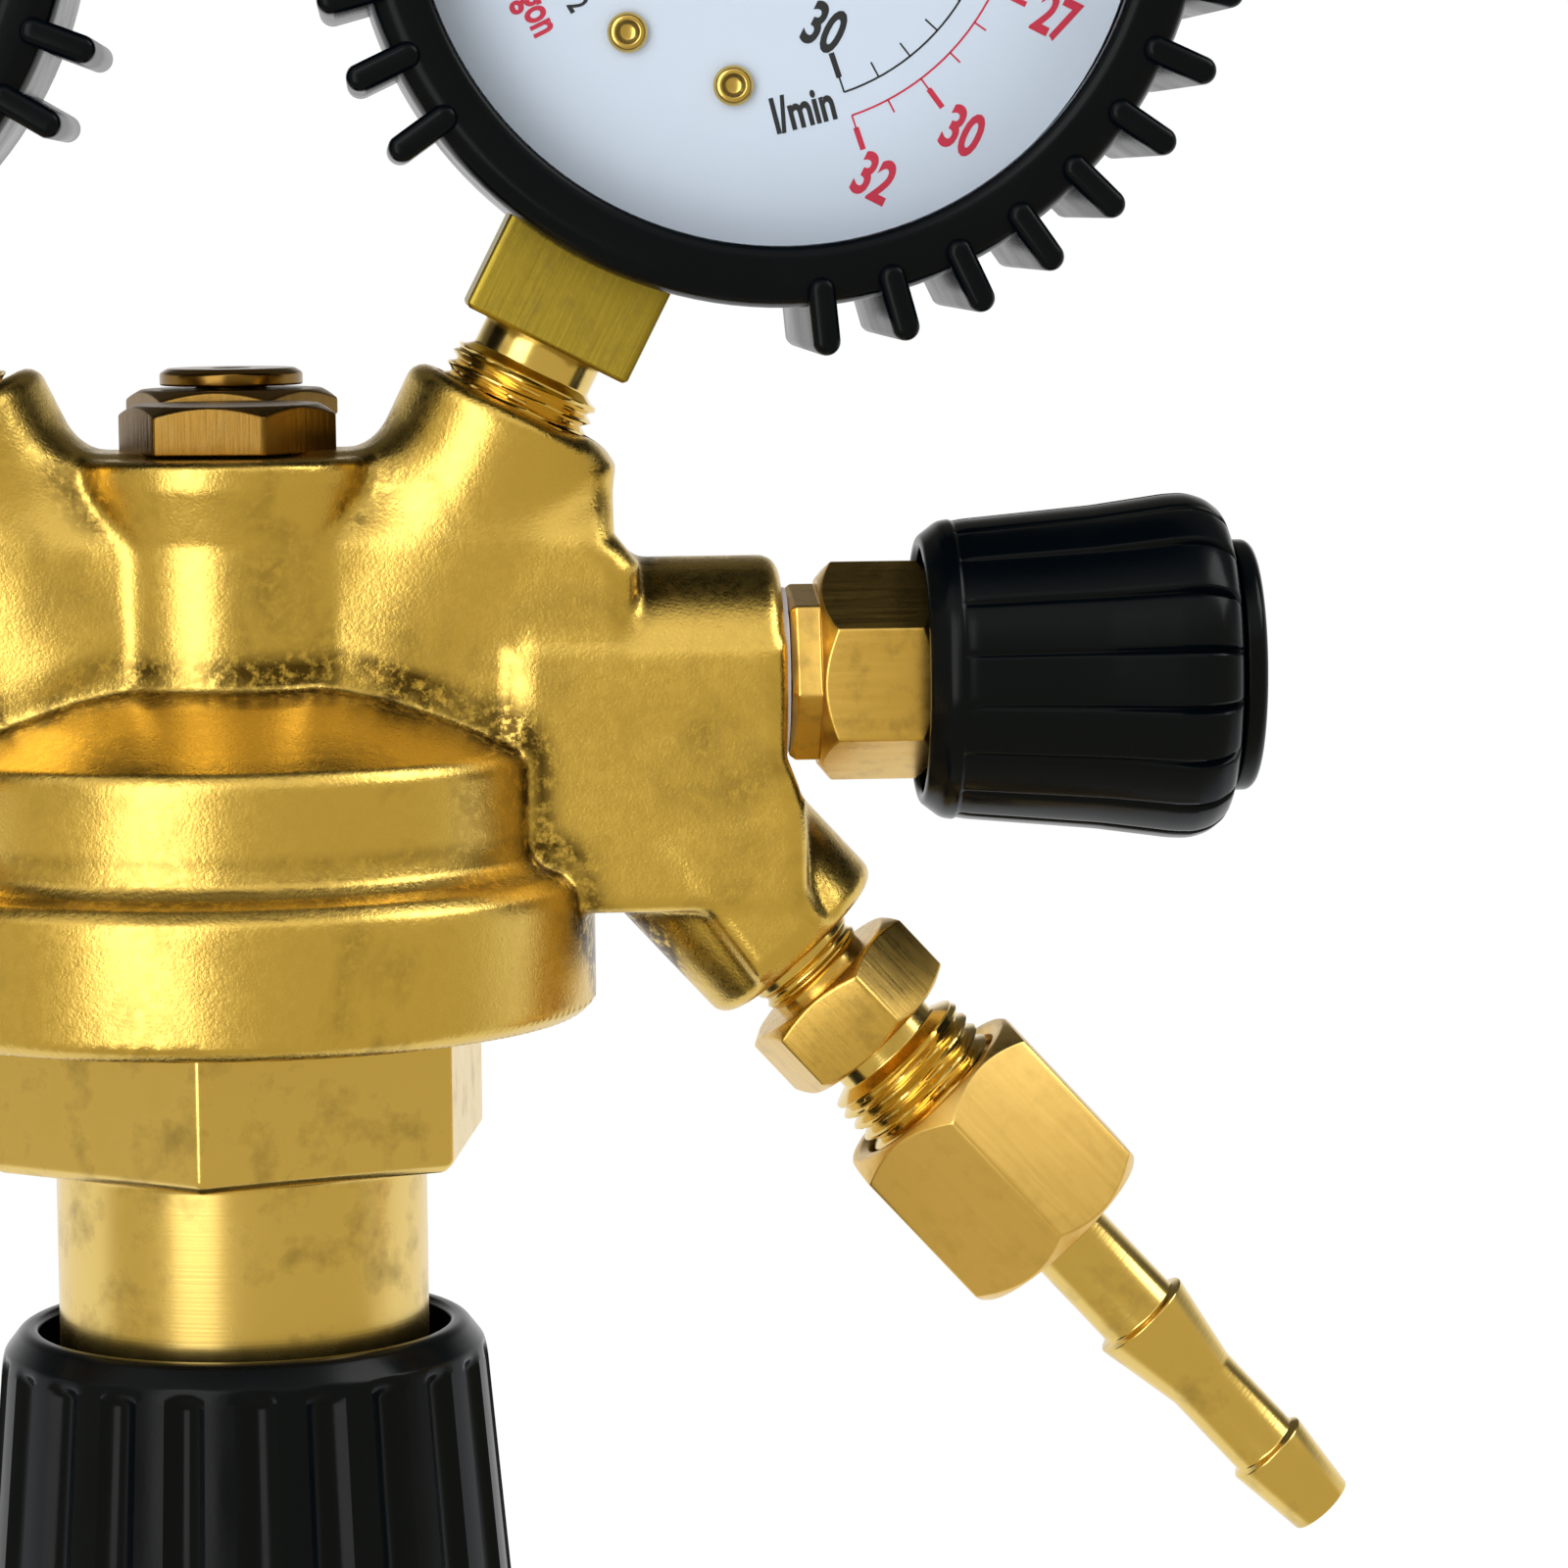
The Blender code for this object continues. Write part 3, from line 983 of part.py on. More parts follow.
def boot_loop(valley, rib, z_valley, z_rib):
    """One loop round the boot: four points to each rib station, the middle two raised where it has a rib."""
    stations = round(360/BOOT_RIB_PITCH)
    root = math.degrees((BOOT_RIB_WIDTH/2+BOOT_RIDGE/2)/BOOT_RADIUS)
    tip = math.degrees(BOOT_RIB_WIDTH/2/(BOOT_RADIUS+BOOT_RIB_HEIGHT))
    points = []
    for i in range(stations):
        from_stem = (i*BOOT_RIB_PITCH+180) % 360-180
        middle = from_stem-90
        ribbed = abs(from_stem) > BOOT_FREE_ARC/2
        for offset, raised in ((-root, False), (-tip, True), (tip, True), (root, False)):
            angle = math.radians(middle+offset)
            high = ribbed and raised
            radius = rib if high else valley
            points.append((radius*math.cos(angle), radius*math.sin(angle), z_rib if high else z_valley))
    return points


def boot_mesh():
    """The rubber boot: ribbed side, ridges that run onto its front, and lips over both rims of the case."""
    stations = round(360/BOOT_RIB_PITCH)
    tip = BOOT_RADIUS+BOOT_RIB_HEIGHT
    back_lip_front = -CASE_FRONT-GAP
    back = back_lip_front-BOOT_LIP_THICKNESS
    opening = GAUGE_CASE_RADIUS-BOOT_LIP+GAP
    ridge_start = opening+2*BOOT_RIDGE
    start = -90-BOOT_RIB_PITCH/2
    rings = [boot_loop(BOOT_RADIUS, tip, back, back),
             boot_loop(BOOT_RADIUS, tip, BOOT_FRONT, BOOT_FRONT+BOOT_RIDGE),
             boot_loop(ridge_start, ridge_start, BOOT_FRONT, BOOT_FRONT)]
    rear_opening = opening-1.5*BOOT_LIP
    inside = ((opening, BOOT_FRONT), (opening, BOOT_LIP_BACK), (BOOT_BORE, BOOT_LIP_BACK),
              (BOOT_BORE, back_lip_front), (rear_opening, back_lip_front), (rear_opening, back))
    rings += [circle(radius, z, stations, start) for radius, z in inside]
    return loft(rings, True)


def stem_hole(radius_low, radius_high, width, material, frame):
    """A square cutter across the gauge's rim where the socket leaves it."""
    half = width/2
    square = [(-half, -half), (half, -half), (half, half), (-half, half)]
    return add("cut_stem", slab(square, radius_low, radius_high), material, frame, turn_about("X", 90))


def pointer_mesh(kit, frame, name):
    """A pointer blade with its hub and arbor, turned to the zero of the scale."""
    low = -MOVEMENT_SIZE/2+GAP
    blade_low = DIAL_FRONT+DIAL_SCREW_HEAD_HEIGHT+3*GAP
    hub_low = blade_low-BLADE_THICKNESS/2
    hub_high = blade_low+BLADE_THICKNESS+GAP*2
    place = turn_about("Z", POINTER_REST)
    pointer = add(name, turned([
        (0, low), (ARBOR_RADIUS, low), (ARBOR_RADIUS, hub_low), (HUB_RADIUS, hub_low), (HUB_RADIUS, hub_high-GAP),
        (HUB_RADIUS-2*GAP, hub_high), (0, hub_high)], 10), kit["pointer_black"], frame, place)
    tip = POINTER_WIDTH/8
    waist = 0.4*POINTER_WIDTH
    outline = [(-POINTER_WIDTH/2, -POINTER_TAIL), (POINTER_WIDTH/2, -POINTER_TAIL), (waist, HUB_RADIUS),
               (tip, POINTER_LENGTH), (-tip, POINTER_LENGTH), (-waist, HUB_RADIUS)]
    blade = add("blade", slab(outline, blade_low, blade_low+BLADE_THICKNESS), kit["pointer_black"], frame, place)
    combine(pointer, [blade], "UNION")


def bourdon_mesh():
    """A flattened tube bent into most of a circle, from beside the socket's shank clockwise round."""
    sides = 6
    steps = 15
    half_wide = BOURDON_WIDTH/2
    half_thick = BOURDON_THICKNESS/2
    clear = SOCKET_SHANK_WIDTH/2+2*GAP
    start = -90-math.degrees(math.asin(clear/(BOURDON_RADIUS-half_thick)))
    middle = Vector((0, 0, -BOURDON_THICKNESS/2))
    rings = []
    for i in range(steps+1):
        angle = math.radians(start-BOURDON_SWEEP*i/steps)
        outward = Vector((math.cos(angle), math.sin(angle), 0))
        centre = outward*BOURDON_RADIUS+middle
        rings.append([tuple(centre+outward*half_thick*math.cos(a)+Vector((0, 0, half_wide*math.sin(a))))
                      for a in (2*math.pi*k/sides for k in range(sides))])
    return loft(rings)


def dial_screw_places():
    """The two screws below the dial's centre, either side of the stem's line."""
    angle = math.radians(DIAL_SCREW_ANGLE)
    return [(side*DIAL_SCREW_CIRCLE*math.sin(angle), -DIAL_SCREW_CIRCLE*math.cos(angle)) for side in (-1, 1)]


def make_gauge(kit, frame, name):
    """One gauge on its frame: local X right, Y up the dial and Z out of its face."""
    stem = turn_about("X", 90)
    rim = CASE_FRONT
    inside = GAUGE_CASE_RADIUS-CASE_WALL
    cut_start = inside-CASE_WALL
    opening = SOCKET_WIDTH+2*GAP
    case = add(name+"_case", turned([
        (0, -rim), (GAUGE_CASE_RADIUS, -rim), (GAUGE_CASE_RADIUS, rim), (inside, rim), (inside, -rim+CASE_WALL),
        (0, -rim+CASE_WALL)], 28), kit["steel"], frame)
    combine(case, [stem_hole(cut_start, BOOT_RADIUS, opening, kit["steel"], frame)], "DIFFERENCE")
    boot = add(name+"_boot", boot_mesh(), kit["black_rubber"], frame, turn_about("Z", BOOT_TURN))
    cut_end = BOOT_RADIUS+BOOT_RIB_HEIGHT+GAP
    combine(boot, [stem_hole(cut_start, cut_end, opening, kit["black_rubber"], frame)], "DIFFERENCE")
    window = rod(GAUGE_CASE_RADIUS, WINDOW_BACK, WINDOW_BACK+WINDOW_THICKNESS, 32)
    add(name+"_window", window, kit["window_clear"], frame)
    dial_bore = ARBOR_RADIUS+2*GAP
    dial = add(name+"_dial", turned([
        (dial_bore, DIAL_BACK), (inside-GAP, DIAL_BACK), (inside-GAP, DIAL_FRONT), (dial_bore, DIAL_FRONT)],
        28, True), kit["dial_enamel"], frame)
    for x, y in dial_screw_places():
        hole = rod(DIAL_SCREW_RADIUS+GAP, DIAL_BACK-1.0, DIAL_FRONT+1.0, 8)
        combine(dial, [add("cut_hole", hole, kit["steel"], frame, shift(x, y))], "DIFFERENCE")
    make_socket(kit, frame, name, stem)
    add(name+"_bourdon_tube", bourdon_mesh(), kit["turned_brass"], frame)
    make_movement(kit, frame, name)
    pointer_mesh(kit, frame, name+"_pointer")
    screw_tip = SOCKET_SHANK_WIDTH/2-DIAL_SCREW_DEPTH+GAP
    head_low = DIAL_FRONT+GAP
    head_high = head_low+DIAL_SCREW_HEAD_HEIGHT
    for i, (x, y) in enumerate(dial_screw_places()):
        add(f"{name}_dial_screw_{i+1}", turned([
            (0, screw_tip), (DIAL_SCREW_RADIUS, screw_tip), (DIAL_SCREW_RADIUS, head_low),
            (DIAL_SCREW_HEAD_RADIUS, head_low), (DIAL_SCREW_HEAD_RADIUS, head_high-0.5),
            (DIAL_SCREW_HEAD_RADIUS-0.5, head_high), (0, head_high)], 8), kit["turned_brass"], frame, shift(x, y))


def make_socket(kit, frame, name, stem):
    """The brass stem: shank inside the case, square block, neck and the thread that enters the boss."""
    count = 12
    inner = count//2
    block_end = SHANK_END+SOCKET_BLOCK_LENGTH
    thread_start = GAUGE_THREAD_START
    thread_end = thread_start+SOCKET_THREAD_SHOWN+GAUGE_THREAD_DEPTH
    shank_start = MOVEMENT_SIZE-1.0+GAP
    lead = 0.6
    rings = [polygon(4, width, z, count, 45)
             for width, z in ((SOCKET_SHANK_WIDTH, shank_start), (SOCKET_SHANK_WIDTH, SHANK_END),
                              (SOCKET_WIDTH, SHANK_END), (SOCKET_WIDTH, block_end))]
    rings += [circle(radius, z, count, 45)
              for radius, z in ((SOCKET_NECK_RADIUS, block_end), (SOCKET_NECK_RADIUS, thread_start),
                                (GAUGE_THREAD_RADIUS, thread_start+lead), (GAUGE_THREAD_RADIUS, thread_end-lead),
                                (GAUGE_THREAD_RADIUS-lead, thread_end))]
    rings += [circle(GAUGE_PORT_RADIUS, z, inner, 45) for z in (thread_end, SHANK_END-MOVEMENT_SIZE+2.0)]
    socket = add(name+"_socket", loft(rings), kit["turned_brass"], frame, stem)
    face = SOCKET_SHANK_WIDTH/2
    for x, y in dial_screw_places():
        tapped = rod(DIAL_SCREW_RADIUS+GAP, face-DIAL_SCREW_DEPTH, face+1.0, 8)
        combine(socket, [add("cut_tapped", tapped, kit["steel"], frame, shift(x, y))], "DIFFERENCE")


def make_movement(kit, frame, name):
    """A bent bracket on the shank that carries both ends of the pointer's arbor."""
    size = MOVEMENT_SIZE
    sheet = size/10
    back = -size/2-sheet
    front = size/2-2*sheet
    low = -size+sheet
    high = size-2*sheet
    outline = [(low, back), (high, back), (high, back+sheet), (low+sheet, back+sheet), (low+sheet, front-sheet),
               (high, front-sheet), (high, front), (low, front)]
    lengthwise = Matrix(((0, 0, 1, 0), (1, 0, 0, 0), (0, 1, 0, 0), (0, 0, 0, 1)))
    bracket = add(name+"_movement", slab(outline, -size/2, size/2), kit["turned_brass"], frame, lengthwise)
    bearing = add("cut_bearing", rod(ARBOR_RADIUS+GAP, 0, size, 10), kit["steel"], frame)
    combine(bracket, [bearing], "DIFFERENCE")


# Assembly

def clear_scene():
    """Removes whatever the scene held."""
    for old in list(bpy.data.objects):
        bpy.data.objects.remove(old)


def main():
    """Builds the regulator: body, gears, valves, inlet, outlet and its two gauges."""
    clear_scene()
    kit = make_finishes()
    base = empty("body_frame", shift(INLET_REACH))
    make_body(kit, base)
    make_pressure_gear(kit, base)
    make_high_valve(kit, base)
    make_adjuster(kit, base)
    make_flow_valve(kit, base)
    make_outlet(kit, base)
    make_relief_valve(kit, base)
    make_inlet(kit, base)
    for side, name in ((1, "flow_gauge"), (-1, "contents_gauge")):
        frame = empty(name+"_frame", along_gauge(side) @ shift(0, 0, GAUGE_REACH) @ turn_about("X", 90), base)
        make_gauge(kit, frame, name)
    bpy.context.view_layer.update()


main()
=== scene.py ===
"""Dressed scene of a flowmeter regulator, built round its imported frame.

The row frame's origin is the centre of the inlet seal. Lengths inside the functions are in millimetres,
and a piece's place turns them into metres in the row frame.
"""

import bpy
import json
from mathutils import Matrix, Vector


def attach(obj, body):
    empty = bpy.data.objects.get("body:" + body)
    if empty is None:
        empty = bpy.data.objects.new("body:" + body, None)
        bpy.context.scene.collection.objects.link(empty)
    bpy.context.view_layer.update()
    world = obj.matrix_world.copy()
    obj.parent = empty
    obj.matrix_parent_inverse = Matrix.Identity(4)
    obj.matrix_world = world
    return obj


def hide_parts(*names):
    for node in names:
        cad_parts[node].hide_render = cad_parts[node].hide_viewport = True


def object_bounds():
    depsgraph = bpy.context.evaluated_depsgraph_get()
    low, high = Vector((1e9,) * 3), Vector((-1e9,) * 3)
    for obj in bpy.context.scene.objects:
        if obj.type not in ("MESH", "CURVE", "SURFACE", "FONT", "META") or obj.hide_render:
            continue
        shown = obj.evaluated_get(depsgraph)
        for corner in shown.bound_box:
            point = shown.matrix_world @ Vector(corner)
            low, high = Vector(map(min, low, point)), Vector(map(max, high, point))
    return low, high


bl_info = {
    "name": "Flowmeter Regulator",
    "version": (1, 0, 0),
    "blender": (4, 5, 0),
    "location": "View3D > Sidebar > Regulator",
    "description": "Builds the looks of a brass flowmeter regulator round its packed frame",
    "category": "Add Mesh",
}

import json
import math

import bmesh
import bpy
import numpy as np
from bpy.props import FloatProperty, FloatVectorProperty, IntProperty, PointerProperty
from bpy.types import Operator, Panel, PropertyGroup
from mathutils import Matrix, Vector

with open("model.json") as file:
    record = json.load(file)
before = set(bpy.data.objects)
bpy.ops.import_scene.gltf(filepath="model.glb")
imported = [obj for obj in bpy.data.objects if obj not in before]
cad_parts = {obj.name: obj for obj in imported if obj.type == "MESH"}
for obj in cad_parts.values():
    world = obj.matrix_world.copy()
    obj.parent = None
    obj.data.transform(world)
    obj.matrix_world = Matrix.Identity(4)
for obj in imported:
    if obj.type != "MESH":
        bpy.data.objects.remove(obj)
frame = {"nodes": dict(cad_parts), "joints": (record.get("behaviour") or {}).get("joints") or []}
CAD_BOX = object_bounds()

MM = 0.001
TURN = 2*math.pi
JOINTS = {joint["name"]: joint for joint in frame["joints"]}

# The body's axis, in metres from the row frame's origin
AXIS_X = JOINTS["adjuster_turn"]["pos_m"][0]

# Places in mm from the body's axis at the height of the inlet and valve
GAUGE_CROSSING = -22.8
OUTLET_FOOT = (44.6, 0, -22.4)
RELIEF_Y = 16.05
KNOB_TOP = -51.6
FLOW_KNOB_FOOT = 54.8

# Degrees: how far the gauges lean out and the outlet slopes down, and how the pieces are turned on their axes
GAUGE_TILT = 27.0
OUTLET_ANGLE = 47.5
BONNET_TURN = 22.6
PLUG_TURN = -9.4
COLLAR_TURN = -23.4
VALVE_TURN = 183.8
FLOW_KNOB_TURN = 16.2
ADAPTOR_TURN = -16.0

# Dials: height of the face over the dial's middle and thickness of the printing in mm, and the scales' first
# mark and sweep in degrees
DIAL_FACE = 7.0
INK = 0.03
SCALE_START = 225
SCALE_SWEEP = 270

# Numerals: height in the font over its size, width over the font's, and how far strokes are thickened in mm
CAP_HEIGHT = 0.7
CONDENSED = 0.66
BOLDER = 0.14


def shift(x=0.0, y=0.0, z=0.0):
    """A move in millimetres."""
    return Matrix.Translation(Vector((x, y, z))*MM)


def turn_about(axis, degrees):
    """A turn about X, Y or Z."""
    return Matrix.Rotation(math.radians(degrees), 4, axis)


def gauge_place(name, side):
    """The frame of a gauge's dial: X right, Y up the dial, Z out of its face."""
    centre = JOINTS[name+"_pointer_turn"]["pos_m"]
    return Matrix.Translation(centre) @ turn_about("Y", side*GAUGE_TILT) @ turn_about("X", 90)


# The places of the chains of pieces, each with its local Z along the chain
BODY = Matrix.Translation((AXIS_X, 0, 0))
VALVE = BODY @ turn_about("Y", 90) @ turn_about("Z", VALVE_TURN)
INLET = BODY @ turn_about("Y", -90)
OUTLET = BODY @ shift(*OUTLET_FOOT) @ turn_about("Y", 90+OUTLET_ANGLE) @ turn_about("Z", -90)
RELIEF = BODY @ shift(0, RELIEF_Y, 0)
KNOB = BODY @ shift(0, 0, KNOB_TOP) @ turn_about("X", 180)
GAUGES = {"flow": gauge_place("flow", 1), "contents": gauge_place("contents", -1)}


# Colours

def srgb(code):
    """A hex colour as the linear red, green and blue that Blender works in."""
    parts = [int(code[i:i+2], 16)/255 for i in (1, 3, 5)]
    return tuple(c/12.92 if c <= 0.04045 else ((c+0.055)/1.055)**2.4 for c in parts)


def colour_prop(name, description, code):
    """A colour that the panel shows, with its default as a hex value."""
    return FloatVectorProperty(name=name, description=description, subtype="COLOR", size=3, min=0, max=1,
                               default=srgb(code))


def length_prop(name, description, millimetres):
    """A length that the panel shows, with its default in millimetres."""
    return FloatProperty(name=name, description=description, unit="LENGTH", default=millimetres*MM)


class RegulatorColours(PropertyGroup):
    """Colours of the finishes."""
    brass: colour_prop("Forged brass", "Clean brass of the forging", "#DEBD62")
    turned: colour_prop("Turned brass", "Clean brass of turned pieces", "#E4C674")
    valve: colour_prop("Valve brass", "Brass of the needle valve and nipple", "#DDB863")
    adaptor: colour_prop("Adaptor brass", "Brass of the adaptor's hexagon and the dial screws", "#DDB965")
    nut: colour_prop("Nut brass", "Brass of the union nut and cylinder nut", "#E6C272")
    block: colour_prop("Stem brass", "Dull olive brass of the gauge stems' square blocks", "#A28F38")
    # The stain colour also paints shade into the forging's hollows, besides the real stains and tarnish
    stain: colour_prop("Stain", "Dark grime that oil and handling left on the brass", "#3B2A10")
    plug: colour_prop("Plug bronze", "Browner brass of the top plug and relief valve", "#7C5F2C")
    plastic: colour_prop("Knob plastic", "Black moulded plastic of the knobs", "#020508")
    rubber: colour_prop("Boot rubber", "Black rubber of the gauge boots", "#020509")
    dial: colour_prop("Dial enamel", "Pale cool white of the dials", "#D9E0EA")
    ink: colour_prop("Dark ink", "Dark navy printing on the dials", "#12141F")
    red_ink: colour_prop("Red ink", "Red printing on the dials", "#C2183A")
    steel: colour_prop("Steel", "Plated steel of cases, screws and springs", "#B9BABB")
    nylon: colour_prop("Nylon", "Off-white nylon of the gasket and inner seals", "#D2CFD6")
    floor: colour_prop("Floor", "Plain pale floor", "#F4F4F2")
    front: colour_prop("Room in front", "Warm tone that gloss shows from behind the camera", "#CBBF94")
    ceiling: colour_prop("Ceiling", "Dark tone that gloss shows from above", "#5E5A50")


class RegulatorSizes(PropertyGroup):
    """Sizes of the shapes that the scene makes."""
    net_step: length_prop("Forging detail", "Edge of the cubes that the forging is worked out on", 0.5)
    blend: length_prop("Forging blend", "Reach of the soft blends between bosses, arms and web", 2.6)
    crease: length_prop("Forging crease", "Reach of the tight blends round the chamber and column", 0.8)
    web: length_prop("Web thickness", "Thickness of the web between the bosses", 17.6)
    rib_count: IntProperty(name="Boot stations", description="Rib places round a gauge boot", default=36)
    rib_height: length_prop("Rib height", "How far a boot's ribs stand out", 3.8)
    thread_pitch: length_prop("Thread pitch", "Pitch of the gauge and union threads", 1.2)
    text_height: length_prop("Numeral height", "Height of the numerals on the dials", 3.3)


# A faint tarnish for brass that was kept clean, as linear red, green and blue
WORN = (0.55, 0.38, 0.12)


# Surfaces

def rounded(points, radius, steps=3):
    """Rounds the inner corners of a polyline of (r, z) points, each of which may vary round the ring.

    A corner is replaced by the quadratic curve from a point short of it to a point past it, by the radius
    or by 0.45 of the shorter side: start (1-t)^2 + 2 corner t (1-t) + end t^2.
    """
    before, here, after = points[:-2], points[1:-1], points[2:]
    back = before-here
    ahead = after-here
    back_size = np.linalg.norm(back, axis=-1, keepdims=True)+1e-9
    ahead_size = np.linalg.norm(ahead, axis=-1, keepdims=True)+1e-9
    reach = np.broadcast_to(np.asarray(radius, float), (len(here),)).reshape(-1, 1, 1)
    cut = np.minimum(reach, 0.45*np.minimum(back_size, ahead_size))
    t = np.linspace(0, 1, steps+1).reshape(1, -1, 1, 1)
    corner = here[:, None]
    start = corner+(back/back_size*cut)[:, None]
    end = corner+(ahead/ahead_size*cut)[:, None]
    curve = start*(1-t)**2+2*corner*t*(1-t)+end*t**2
    return np.concatenate([points[:1], curve.reshape(-1, points.shape[1], 2), points[-1:]])


def section(controls, angles, radius=0.25, steps=3):
    """Rows of (r, z) round the ring: each control is a pair of numbers or of arrays over the angles."""
    rows = [np.stack(np.broadcast_arrays(np.asarray(r, float), np.asarray(z, float), angles)[:2], -1)
            for r, z in controls]
    return rounded(np.array(rows), radius, steps)


def spin(rows, angles):
    """Carries rows of (r, z) round the Z axis: the point at angle a is (r cos a, r sin a, z)."""
    return np.stack([rows[..., 0]*np.cos(angles), rows[..., 0]*np.sin(angles), rows[..., 1]], -1)


def even_angles(count):
    """Angles spread evenly round a circle."""
    return np.arange(count)*TURN/count


def corner_angles(sides, count):
    """Angles round a polygon, crowded towards its corners by the sine law u - 0.85 sin(2 pi u)/(2 pi)."""
    u = np.arange(count)/count
    eased = u-0.85*np.sin(TURN*u)/TURN
    return (np.arange(sides)[:, None]+eased[None, :]).ravel()*TURN/sides


def polygon_radius(sides, flats, angles, rounding=0.35):
    """Distance from the centre to a regular polygon with rounded corners, the first corner at angle 0.

    On a flat it is half the flats over the cosine of the angle from the flat's middle; on a corner it is
    the far crossing with a circle of the rounding's radius that touches both flats.
    """
    sector = TURN/sides
    from_corner = np.abs((angles+sector/2) % sector-sector/2)
    from_flat = sector/2-from_corner
    flat = flats/2/np.cos(from_flat)
    centre = (flats/2-rounding)/np.cos(sector/2)
    start = np.arctan2((flats/2-rounding)*np.tan(sector/2), flats/2)
    across = np.clip(rounding**2-(centre*np.sin(from_corner))**2, 0, None)
    corner = centre*np.cos(from_corner)+np.sqrt(across)
    return np.where(from_flat > start, corner, flat)


def hexagon(flats, low, high, angles, low_cut=True, slope=1.7):
    """Controls of a hexagon between two heights, with turned chamfers that leave scalloped edges.

    A chamfer is a cone from a circle just inside the flats, so at each angle it meets the hexagon where
    its radius has grown to the hexagon's: height = end + (hexagon radius - circle radius)/slope.
    """
    side = polygon_radius(6, flats, angles)
    circle = flats/2-0.25
    drop = (side-circle)/slope
    controls = [(circle, low), (side, low+drop)] if low_cut else [(side, low)]
    return controls+[(side, high-drop), (circle, high)]


def thread_rows(radius, depth, pitch, low, high, angles, per_turn=7):
    """Rows of a screw thread: r = radius - depth times a raised cosine of (z/pitch - angle/turn)."""
    count = max(3, int(abs(high-low)/pitch*per_turn))
    z = np.linspace(low, high, count)[:, None]
    phase = z/pitch-angles/TURN
    fade = np.clip(np.minimum(np.abs(z-low), np.abs(high-z))/(0.5*pitch), 0, 1)
    r = radius-depth*(0.5+0.5*np.cos(TURN*phase))*fade-depth*0.3*(1-fade)
    return np.stack([r, np.broadcast_to(z, r.shape)], -1)


def piece(name, grids, material, body, replaces=(), place=Matrix.Identity(4), sharp=40.0):
    """Makes one mesh of grids of points in millimetres, whose columns close on themselves, and fits it.

    Points that fall together, as at a pole or where two grids meet, are merged, so the skin is closed.
    """
    points, faces, start = [], [], 0
    for grid in grids:
        rows, columns = grid.shape[:2]
        index = start+np.arange(rows*columns).reshape(rows, columns)
        following = np.roll(index, -1, axis=1)
        faces.append(np.stack([index[:-1], following[:-1], following[1:], index[1:]], -1).reshape(-1, 4))
        points.append(grid.reshape(-1, 3))
        start += rows*columns
    return fit(name, np.concatenate(points), np.concatenate(faces), material, body, replaces, place,
               sharp)


def fit(name, points, faces, material, body, replaces=(), place=Matrix.Identity(4), sharp=40.0):
    """Puts points in millimetres and their faces into a mesh, in the row frame, and rides it on its body."""
    turn = np.array(place.to_3x3())
    world = points*MM @ turn.T+np.array(place.translation)
    data = bpy.data.meshes.new(name)
    data.from_pydata(world.tolist(), [], faces.tolist())
    mesh = bmesh.new()
    mesh.from_mesh(data)
    bmesh.ops.remove_doubles(mesh, verts=mesh.verts, dist=2e-7)
    bmesh.ops.recalc_face_normals(mesh, faces=mesh.faces)
    mesh.to_mesh(data)
    mesh.free()
    return dress(bpy.data.objects.new(name, data), material, body, replaces, sharp)


def dress(thing, material, body, replaces=(), sharp=40.0):
    """Links an object, gives it its material and smooth shading, and rides it on its body."""
    bpy.context.scene.collection.objects.link(thing)
    thing.data.shade_smooth()
    thing.data.set_sharp_from_angle(angle=math.radians(sharp))
    thing.data.materials.append(material)
    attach(thing, body)
    if replaces:
        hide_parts(*replaces)
    return thing


def revolve(name, controls, angles, rounding, material, replaces=(), place=Matrix.Identity(4),
            body="regulator", sharp=40.0):
    """Makes a piece by carrying one rounded section round its place's axis."""
    rows = section(controls, angles, rounding)
    return piece(name, [spin(rows, angles)], material, body, replaces, place, sharp)


# Distance fields, in millimetres in the body's frame

def join(first, second, reach):
    """The nearer of two fields, blended: min - (reach - |difference|)^2 / (4 reach) inside the reach."""
    overlap = np.clip(reach-np.abs(first-second), 0, None)
    return np.minimum(first, second)-overlap**2/(4*reach)


def rim(side, cap, rounding):
    """Distance to a form from those to its side and its end, each taken with the rim's rounding added."""
    outside = np.hypot(np.clip(side, 0, None), np.clip(cap, 0, None))
    return np.minimum(np.maximum(side, cap), 0)+outside-rounding


def bar(p, start, end, radius, rounding=0.0, tip=None):
    """Distance to a round bar between two points, tapering to the tip radius, with rounded rims."""
    start = np.array(start, float)
    axis = np.array(end, float)-start
    size = np.linalg.norm(axis)
    along = (p-start) @ (axis/size)
    across = np.sqrt(np.clip(((p-start)**2).sum(-1)-along**2, 0, None))
    if tip is not None:
        radius = radius+(tip-radius)*np.clip(along/size, 0, 1)
    side = across-radius+rounding
    cap = np.abs(along-size/2)-size/2+rounding
    return rim(side, cap, rounding)


def outline_field(u, v, corners):
    """Distance to a closed outline in a plane, negative inside, by nearest side and crossing count."""
    corners = np.array(corners, float)
    nearest = np.full(u.shape, 1e9)
    inside = np.zeros(u.shape, bool)
    for (a, b), (c, d) in zip(corners, np.roll(corners, -1, axis=0)):
        eu, ev = c-a, d-b
        t = np.clip(((u-a)*eu+(v-b)*ev)/(eu*eu+ev*ev), 0, 1)
        nearest = np.minimum(nearest, (u-a-t*eu)**2+(v-b-t*ev)**2)
        if ev != 0:
            inside ^= ((b > v) != (d > v)) & (u < (v-b)*eu/ev+a)
    return np.where(inside, -1, 1)*np.sqrt(nearest)


def plate(p, corners, half, rounding):
    """Distance to an outline in X and Z carried to both sides of Y = 0, with rounded rims."""
    side = outline_field(p[..., 0], p[..., 2], corners)+rounding
    face = np.abs(p[..., 1])-half+rounding
    return rim(side, face, rounding)


